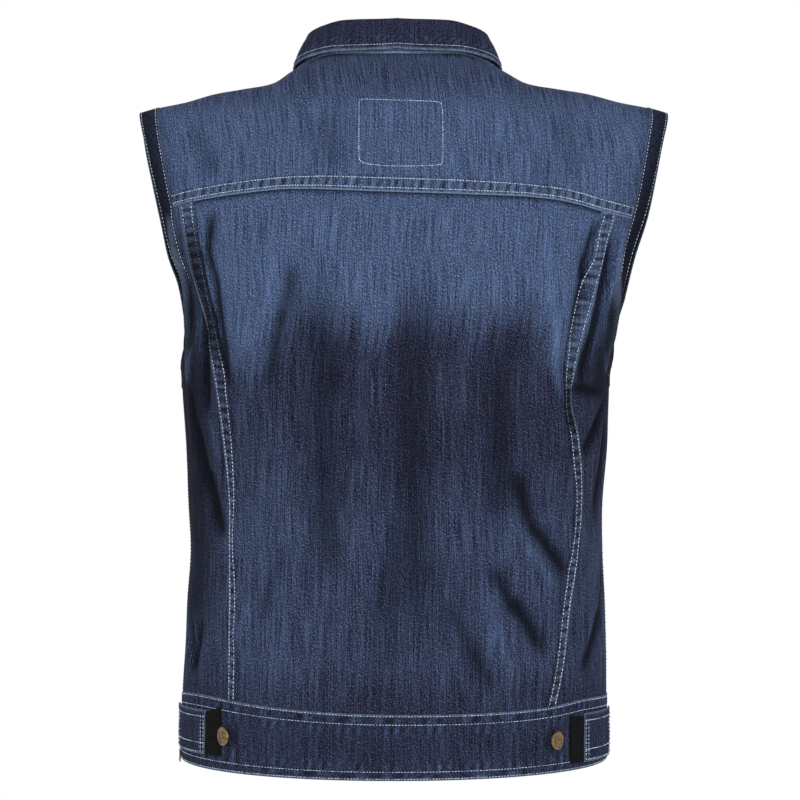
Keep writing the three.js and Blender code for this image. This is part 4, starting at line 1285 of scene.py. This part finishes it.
# %% Stitches of the waistband, armhole bands, plackets and fronts
ON_WAIST = BAND_HALF - 0.02
for side, turns in waist_turns.items():
    line = np.linspace(turns[0], turns[-1], 900)[4:-4]
    lift = waist_lift(SIDES.get(side, 0), line) + ON_WAIST
    rows = [lifted(*place_waist(line, rise), lift + band_swell(rise) - 0.1)
            for rise in (0.03, 0.135, 0.845, 0.972)]
    stitch_mesh(f"stitches_waistband_{side}", rows, f"denim_waistband_{side}", pitch=2.8,
                thread=FINE_THREAD, filled=0.8)
for side, sign in SIDES.items():
    # Stitches low in the armhole get painted shade, down to near black.
    rows = [row_on(place_band(sign), [0.0, 3.999], share, 1.35, 1400) for share in (0.12, 0.84)]
    stitch_mesh(f"stitches_armhole_{side}", rows, f"denim_armhole_band_{side}", thread=FINE_THREAD,
                light=lambda z: 0.05 + 0.95 * smooth_step(z, 425, 462))
    side_rows = []
    for away in (0.9, 3.3):
        turn = np.full(500, sign * (90 - away))
        reach = back_reach(turn, np.linspace(0.004, 0.99, 500))
        side_rows.append(lifted(turn, reach, ON_PANEL))
    stitch_mesh(f"stitches_side_{side}", side_rows, f"denim_side_back_{side}")
for side, (first, last, _, high) in placket_faces.items():
    rows = [row_on(place_placket, x, [0.004, 0.996], high + 0.12) for x in (first + 2.2, last - 2.2)]
    stitch_mesh(f"stitches_placket_{side}", rows, f"denim_placket_{side}")


# %% Stitches of the collar, the tabs and the tag
ON_COLLAR = COLLAR_HALF + 0.12
collar_rows = [collar_row((-end, end), rise, lift) for end, rise, lift in (
    (0.965, 2.84, -ON_COLLAR), (0.965, 0.12, -ON_COLLAR), (0.5, 0.05, ON_COLLAR), (0.5, 0.13, ON_COLLAR))]
stitch_mesh("stitches_collar", collar_rows, "denim_collar", pitch=2.6, thread=FINE_THREAD, filled=0.8)
ON_TAB = 3.95
for side, sizes in adjusters.items():
    sign = SIDES[side]
    place = place_tab(sizes)
    end, tab = sizes["strap"][1], sizes["tab"]
    rows = [row_on(place, [end + sign * 0.4, tab - sign * 1.2], rise, ON_TAB) for rise in (0.05, 0.26, 0.85)]
    for turn in (end + sign * 0.7, end + sign * 2.1, tab - sign * 1.6, tab - sign * 5.4):
        rows.append(row_on(place, turn, [0.04, 0.9], ON_TAB))
    stitch_mesh(f"stitches_tab_{side}", rows, f"denim_tab_{side}")
tag_row = row_on(place_tag, [80.6, 97.4, 97.4, 80.6, 80.6], [0.12, 0.12, 0.88, 0.88, 0.12], ON_BAND + 1.4)
stitch_mesh("stitches_tag", [tag_row], "leather_tag", pitch=2.2, thread=0.2)
every_stitch = [piece for group in stitch_sets.values() for piece in group]
print("stitches:", sum(len(piece.data.vertices) for piece in every_stitch) // 16)
slot_of = {"seam_yoke": "denim_faded", "denim_yoke": "denim_faded", "leather_tag": "leather"}
for owner, group in stitch_sets.items():
    for piece in group:
        wear_pieces(piece, slot=slot_of.get(owner, "denim_dark"))

# %% [markdown]
# ## Denim
#
# Denim is a twill of dark warp threads, which run up the cloth, over pale weft threads. From this far
# its threads are finer than a pixel: what shows is pale flecks in slanting lines, long uneven streaks of
# thick and thin warp, and a slow mottle. All of these are noise, stretched on the UV map in metres. The
# attributes then mix in the faded blue of the shoulders, the pale rubbed ridges and painted shade, near
# black, in the fold troughs, on the sides that turn from the light and beside the seams.


# %% Short helpers for nodes
def blank_material(name):
    material = bpy.data.materials.new(name)
    material.use_nodes = True
    tree = material.node_tree
    return material, tree, tree.nodes["Principled BSDF"]


def set_finish(tree, shader, base, roughness, shine=0.5):
    tree.links.new(base, shader.inputs["Base Color"])
    shader.inputs["Roughness"].default_value = roughness
    shader.inputs["Specular IOR Level"].default_value = shine


def attribute(tree, name):
    node = tree.nodes.new("ShaderNodeAttribute")
    node.attribute_name = name
    return node.outputs["Fac"]


def cloth_map(tree, turned=0.0, scale=(1, 1, 1)):
    """The UV map in metres, turned in degrees and then stretched."""
    uv = tree.nodes.new("ShaderNodeUVMap")
    uv.uv_map = "cloth"
    rotate = tree.nodes.new("ShaderNodeMapping")
    rotate.inputs["Rotation"].default_value[2] = np.radians(turned)
    tree.links.new(uv.outputs["UV"], rotate.inputs["Vector"])
    stretch = tree.nodes.new("ShaderNodeVectorMath")
    stretch.operation = "MULTIPLY"
    stretch.inputs[1].default_value = scale
    tree.links.new(rotate.outputs["Vector"], stretch.inputs[0])
    return stretch.outputs["Vector"]


def noise(tree, vector, detail=2.0, scale=1.0, roughness=0.55):
    node = tree.nodes.new("ShaderNodeTexNoise")
    node.inputs["Scale"].default_value = scale
    node.inputs["Detail"].default_value = detail
    node.inputs["Roughness"].default_value = roughness
    tree.links.new(vector, node.inputs["Vector"])
    return node.outputs["Fac"]


def fit(tree, value, low, high, to_low=0.0, to_high=1.0, smooth=True):
    node = tree.nodes.new("ShaderNodeMapRange")
    node.interpolation_type = "SMOOTHSTEP" if smooth else "LINEAR"
    for socket, number in (("From Min", low), ("From Max", high), ("To Min", to_low), ("To Max", to_high)):
        node.inputs[socket].default_value = number
    tree.links.new(value, node.inputs["Value"])
    return node.outputs["Result"]


def maths(tree, operation, first, second):
    node = tree.nodes.new("ShaderNodeMath")
    node.operation = operation
    for socket, value in zip(node.inputs, (first, second)):
        if isinstance(value, (int, float)):
            socket.default_value = value
        else:
            tree.links.new(value, socket)
    return node.outputs["Value"]


def mix(tree, factor, first, second, blend="MIX"):
    node = tree.nodes.new("ShaderNodeMix")
    node.data_type, node.blend_type, node.clamp_factor = "RGBA", blend, True
    for socket, value in ((node.inputs[0], factor), (node.inputs[6], first), (node.inputs[7], second)):
        if isinstance(value, tuple):
            socket.default_value = (*value, 1)
        elif isinstance(value, (int, float)):
            socket.default_value = value
        else:
            tree.links.new(value, socket)
    return node.outputs[2]


def bump(tree, shader, height, distance, strength=1.0):
    node = tree.nodes.new("ShaderNodeBump")
    node.inputs["Strength"].default_value = strength
    node.inputs["Distance"].default_value = distance
    tree.links.new(height, node.inputs["Height"])
    tree.links.new(node.outputs["Normal"], shader.inputs["Normal"])


# %% The denim
DARK = (0.0078, 0.0090, 0.0215)
FADED = (0.027, 0.044, 0.093)
WORN = (0.075, 0.135, 0.265)
WORN_EDGE = (0.18, 0.26, 0.37)
THREAD_PALE = (0.23, 0.27, 0.35)
# Near black of the painted shade in fold troughs, on turned-away sides, between gathers and under seams.
PAINTED_SHADE_BLACK = (0.0020, 0.0023, 0.0042)
# The wrong side is painted near black as the shade it lies in.
INSIDE_PAINTED_SHADE = (0.0045, 0.0050, 0.0070)
INSIDE_WEFT = (0.016, 0.018, 0.025)
INSIDE_SHADE = (0.003, 0.0035, 0.005)
GRAIN_DARK = (0.34, 0.37, 0.44)
GRAIN_PALE = (1.85, 1.78, 1.66)


def denim(name, fade_more=0.0, flecks=0.42, streaks=1.0, worn=WORN):
    """Dark to faded by its place, grained by its threads, then painted shade, rubbed ridges and flecks."""
    material, tree, shader = blank_material(name)
    fine = noise(tree, cloth_map(tree, scale=(820, 22, 1)), 2, roughness=0.7)
    broad = noise(tree, cloth_map(tree, scale=(170, 5, 1)), 3)
    mottle = noise(tree, cloth_map(tree, scale=(30, 20, 1)), 4)
    twill = noise(tree, cloth_map(tree, turned=-28, scale=(1150, 620, 1)), 1, roughness=0.7)
    fleck = fit(tree, twill, 0.55, 0.72)
    reach = 0.12 * streaks
    streaky = maths(tree, "ADD", fit(tree, fine, 0.3, 0.7, -reach, reach),
                    fit(tree, broad, 0.3, 0.7, -reach, reach))
    streaky = maths(tree, "ADD", streaky, fit(tree, mottle, 0.25, 0.75, -0.06, 0.06))
    faded_here = maths(tree, "ADD", attribute(tree, "fade"), fade_more)
    faded_here = fit(tree, maths(tree, "ADD", faded_here, streaky), 0.0, 1.0, smooth=False)
    base = mix(tree, faded_here, DARK, FADED)
    grainy = maths(tree, "ADD", maths(tree, "MULTIPLY", fine, 0.5), maths(tree, "MULTIPLY", twill, 0.5))
    shade = mix(tree, fit(tree, grainy, 0.37, 0.63), GRAIN_DARK, GRAIN_PALE)
    base = mix(tree, 1.0, base, shade, "MULTIPLY")
    # Painted shade: the colour goes most of the way to near black where the attribute says, and the pale
    # flecks go with it.
    hollow = maths(tree, "MULTIPLY", attribute(tree, "hollow"), 0.9)
    base = mix(tree, hollow, base, PAINTED_SHADE_BLACK)
    rubbed = maths(tree, "MULTIPLY", attribute(tree, "wear"), fit(tree, fine, 0.25, 0.7, 0.35, 1.0))
    base = mix(tree, maths(tree, "MULTIPLY", rubbed, 0.7), base, worn)
    half_faded = maths(tree, "ADD", maths(tree, "MULTIPLY", faded_here, 0.5), 0.5)
    pale = maths(tree, "MULTIPLY", fleck, half_faded)
    pale = maths(tree, "MULTIPLY", pale, maths(tree, "SUBTRACT", 1.0, hollow))
    base = mix(tree, maths(tree, "MULTIPLY", pale, flecks), base, THREAD_PALE)
    set_finish(tree, shader, base, 0.92, 0.04)
    puckered = noise(tree, cloth_map(tree, scale=(115, 115, 1)), 2)
    height = maths(tree, "MULTIPLY", puckered, maths(tree, "MULTIPLY", attribute(tree, "seam"), 2.4))
    for relief, share in ((twill, 0.35), (fine, 0.45), (mottle, 1.1)):
        height = maths(tree, "ADD", height, maths(tree, "MULTIPLY", relief, share))
    bump(tree, shader, height, 0.0011, 0.8)
    return material


def denim_inside(name):
    """The wrong side, painted near black for the shade it stays in, with faint weft lines."""
    material, tree, shader = blank_material(name)
    weft = noise(tree, cloth_map(tree, turned=28, scale=(900, 320, 1)), 2)
    slow = noise(tree, cloth_map(tree, scale=(60, 30, 1)), 3)
    base = mix(tree, fit(tree, weft, 0.4, 0.75, 0, 0.5), INSIDE_PAINTED_SHADE, INSIDE_WEFT)
    base = mix(tree, fit(tree, slow, 0.4, 0.7, 0, 0.4), base, INSIDE_SHADE)
    set_finish(tree, shader, base, 0.95, 0.2)
    bump(tree, shader, weft, 0.0006, 0.6)
    return material


plain_denim = denim("denim_body")
strip_denim = denim("denim_felled_strip", flecks=0.5, worn=WORN_EDGE)
dark_denim = denim("denim_dark_band", fade_more=0.04, flecks=0.34, streaks=0.5, worn=WORN_EDGE)
inside_denim = denim_inside("denim_wrong_side")
for name in flat_sizes:
    if not name.startswith(("denim", "seam")):
        continue
    dark_piece = any(word in name for word in ("collar", "waistband", "tab", "armhole"))
    chosen = dark_denim if dark_piece else strip_denim if name.startswith("seam") else plain_denim
    same_inside = name.startswith(("seam", "denim_tab", "denim_collar"))
    mesh = bpy.data.objects[name].data
    mesh.materials.append(chosen)
    mesh.materials.append(chosen if same_inside else inside_denim)

# %% [markdown]
# ## Thread, strap, leather and brass
#
# The topstitching was once white and has taken up some indigo, each stitch a little differently, and
# stitches deep in shade are painted dark. The strap is a ribbed sheet painted near black as the shadow
# that the lifted tab casts, the tag is waxed leather and the brass has gone dull in its hollows.


# %% Thread, strap, leather and brass
# The thread's dim colour is also where stitches in painted shade end up.
THREAD_DIM_AND_SHADE, THREAD_BRIGHT = (0.008, 0.011, 0.022), (0.40, 0.49, 0.60)
# The tape's black is the near black of a painted shadow.
STRAP_SHADOW_BLACK, TAPE_LINT = (0.0012, 0.0013, 0.0018), (0.006, 0.007, 0.008)
LEATHER_DARK, LEATHER_PALE = (0.075, 0.036, 0.018), (0.16, 0.085, 0.042)
BRASS_PALE, BRASS_DULL = (0.17, 0.115, 0.055), (0.06, 0.040, 0.020)


def thread(name):
    material, tree, shader = blank_material(name)
    # The tone attribute holds each stitch's random tone times its painted shade.
    base = mix(tree, fit(tree, attribute(tree, "tone"), 0.0, 0.9), THREAD_DIM_AND_SHADE, THREAD_BRIGHT)
    set_finish(tree, shader, base, 0.7)
    return material


# A near-black ribbed sheet that stands for the tab's cast shadow on the band: a painted shadow with faint
# lint.
def painted_shadow_strap(name):
    material, tree, shader = blank_material(name)
    rib = tree.nodes.new("ShaderNodeTexWave")
    rib.bands_direction = "Y"
    rib.inputs["Scale"].default_value = 1.0
    rib.inputs["Distortion"].default_value = 0.6
    tree.links.new(cloth_map(tree, scale=(200, 240, 1)), rib.inputs["Vector"])
    lint = noise(tree, cloth_map(tree, scale=(500, 500, 1)), 3)
    base = mix(tree, fit(tree, lint, 0.5, 0.75, 0, 0.5), STRAP_SHADOW_BLACK, TAPE_LINT)
    set_finish(tree, shader, base, 0.9, 0.1)
    bump(tree, shader, rib.outputs["Fac"], 0.0005)
    return material


def leather(name):
    material, tree, shader = blank_material(name)
    grain = tree.nodes.new("ShaderNodeTexVoronoi")
    grain.inputs["Scale"].default_value = 900
    tree.links.new(cloth_map(tree), grain.inputs["Vector"])
    slow = noise(tree, cloth_map(tree, scale=(160, 160, 1)), 3)
    set_finish(tree, shader, mix(tree, fit(tree, slow, 0.35, 0.7), LEATHER_DARK, LEATHER_PALE), 0.55)
    bump(tree, shader, grain.outputs["Distance"], 0.0004, 0.6)
    return material


def brass(name):
    material, tree, shader = blank_material(name)
    place = tree.nodes.new("ShaderNodeTexCoord").outputs["Object"]
    dull = noise(tree, place, 4, scale=420)
    base = mix(tree, fit(tree, dull, 0.4, 0.7), BRASS_PALE, BRASS_DULL)
    tree.links.new(base, shader.inputs["Base Color"])
    tree.links.new(fit(tree, dull, 0.35, 0.7, 0.26, 0.5), shader.inputs["Roughness"])
    shader.inputs["Metallic"].default_value = 1.0
    bump(tree, shader, dull, 0.0002, 0.4)
    return material


# %% Give the finishes to the small pieces
finishes = (
    (every_stitch, thread("thread_pale"), 1),
    (shadow_straps, painted_shadow_strap("strap_tape"), 2),
    ([hem_tag], leather("leather_waxed"), 2),
    (buttons, brass("brass_dull"), 1),
)
for pieces, material, faces in finishes:
    for piece in pieces:
        piece.data.materials.clear()
        for _ in range(faces):
            piece.data.materials.append(material)
print("materials:", [material.name for _, material, _ in finishes])

# %% [markdown]
# ## What each piece was cut to
#
# Each cloth piece's width and length as it lay flat are printed. The walls were measured as they were
# made, and the wear makes no stretch, so those are the cut sizes that show.

for name, (width, length, area) in flat_sizes.items():
    width, length = round(width, 4), round(length, 4)
    print(f"{name}: {width * 1000:.0f} x {length * 1000:.0f} mm, {area * 1e4:.0f} cm2")


# %% [markdown]
# ## Camera, light and floor
#
# The camera looks level at the back from 2.4 metres, with the long lens that shows it as flat as it is
# seen. The room is evenly white, which gives the plain ground from every side. Soft light comes from
# both sides behind the camera, which is what brings out lengthwise folds, over a plain pale floor.

# %% Camera
LENS = 117.6
CAMERA_PLACE = (0, 2.415, -0.278)
camera_data = bpy.data.cameras.new("camera")
camera_data.lens = LENS
camera_data.sensor_width = 36
camera = add_object("camera", camera_data)
camera.location = CAMERA_PLACE
camera.rotation_euler = (np.pi / 2, 0, np.pi)
bpy.context.scene.camera = camera

# %% Floor
FLOOR_SIZE, FLOOR_HEIGHT = 4.4, -1.05
FLOOR_WHITE = (0.93, 0.93, 0.93, 1)
bpy.ops.mesh.primitive_plane_add(size=FLOOR_SIZE, location=(0, 0, FLOOR_HEIGHT))
bpy.ops.object.transform_apply(location=True, rotation=False, scale=False)
floor = bpy.context.object
floor.name = "studio_floor"
white, _, shader = blank_material("studio_white")
shader.inputs["Base Color"].default_value = FLOOR_WHITE
shader.inputs["Roughness"].default_value = 0.9
floor.data.materials.append(white)


# %% Lights
def soft_light(name, place, size, power):
    """A rectangular lamp of a size in metres and a power in watts, turned to the vest."""
    data = bpy.data.lights.new(name, "AREA")
    data.shape = "RECTANGLE"
    data.size, data.size_y = size
    data.energy = power
    lamp = add_object(name, data)
    lamp.location = place
    lamp.rotation_euler = (LIT_POINT - Vector(place)).to_track_quat("-Z", "Y").to_euler()


LIT_POINT = Vector((0, 0, -0.3))
soft_light("side_right", (-1.9, 1.7, 0.1), (0.5, 1.6), 32)
soft_light("side_left", (1.9, 1.6, 0.1), (0.5, 1.6), 24)
soft_light("over_camera", (0, 2.6, 1.2), (1.2, 0.8), 22)
soft_light("front_fill", (0, -2.4, 0.6), (2.4, 1.6), 30)
world = bpy.data.worlds.new("white_room")
world.use_nodes = True
world.node_tree.nodes["Background"].inputs["Color"].default_value = (1, 1, 1, 1)
world.node_tree.nodes["Background"].inputs["Strength"].default_value = 1.0
bpy.context.scene.world = world
bpy.context.scene.view_settings.view_transform = "Standard"
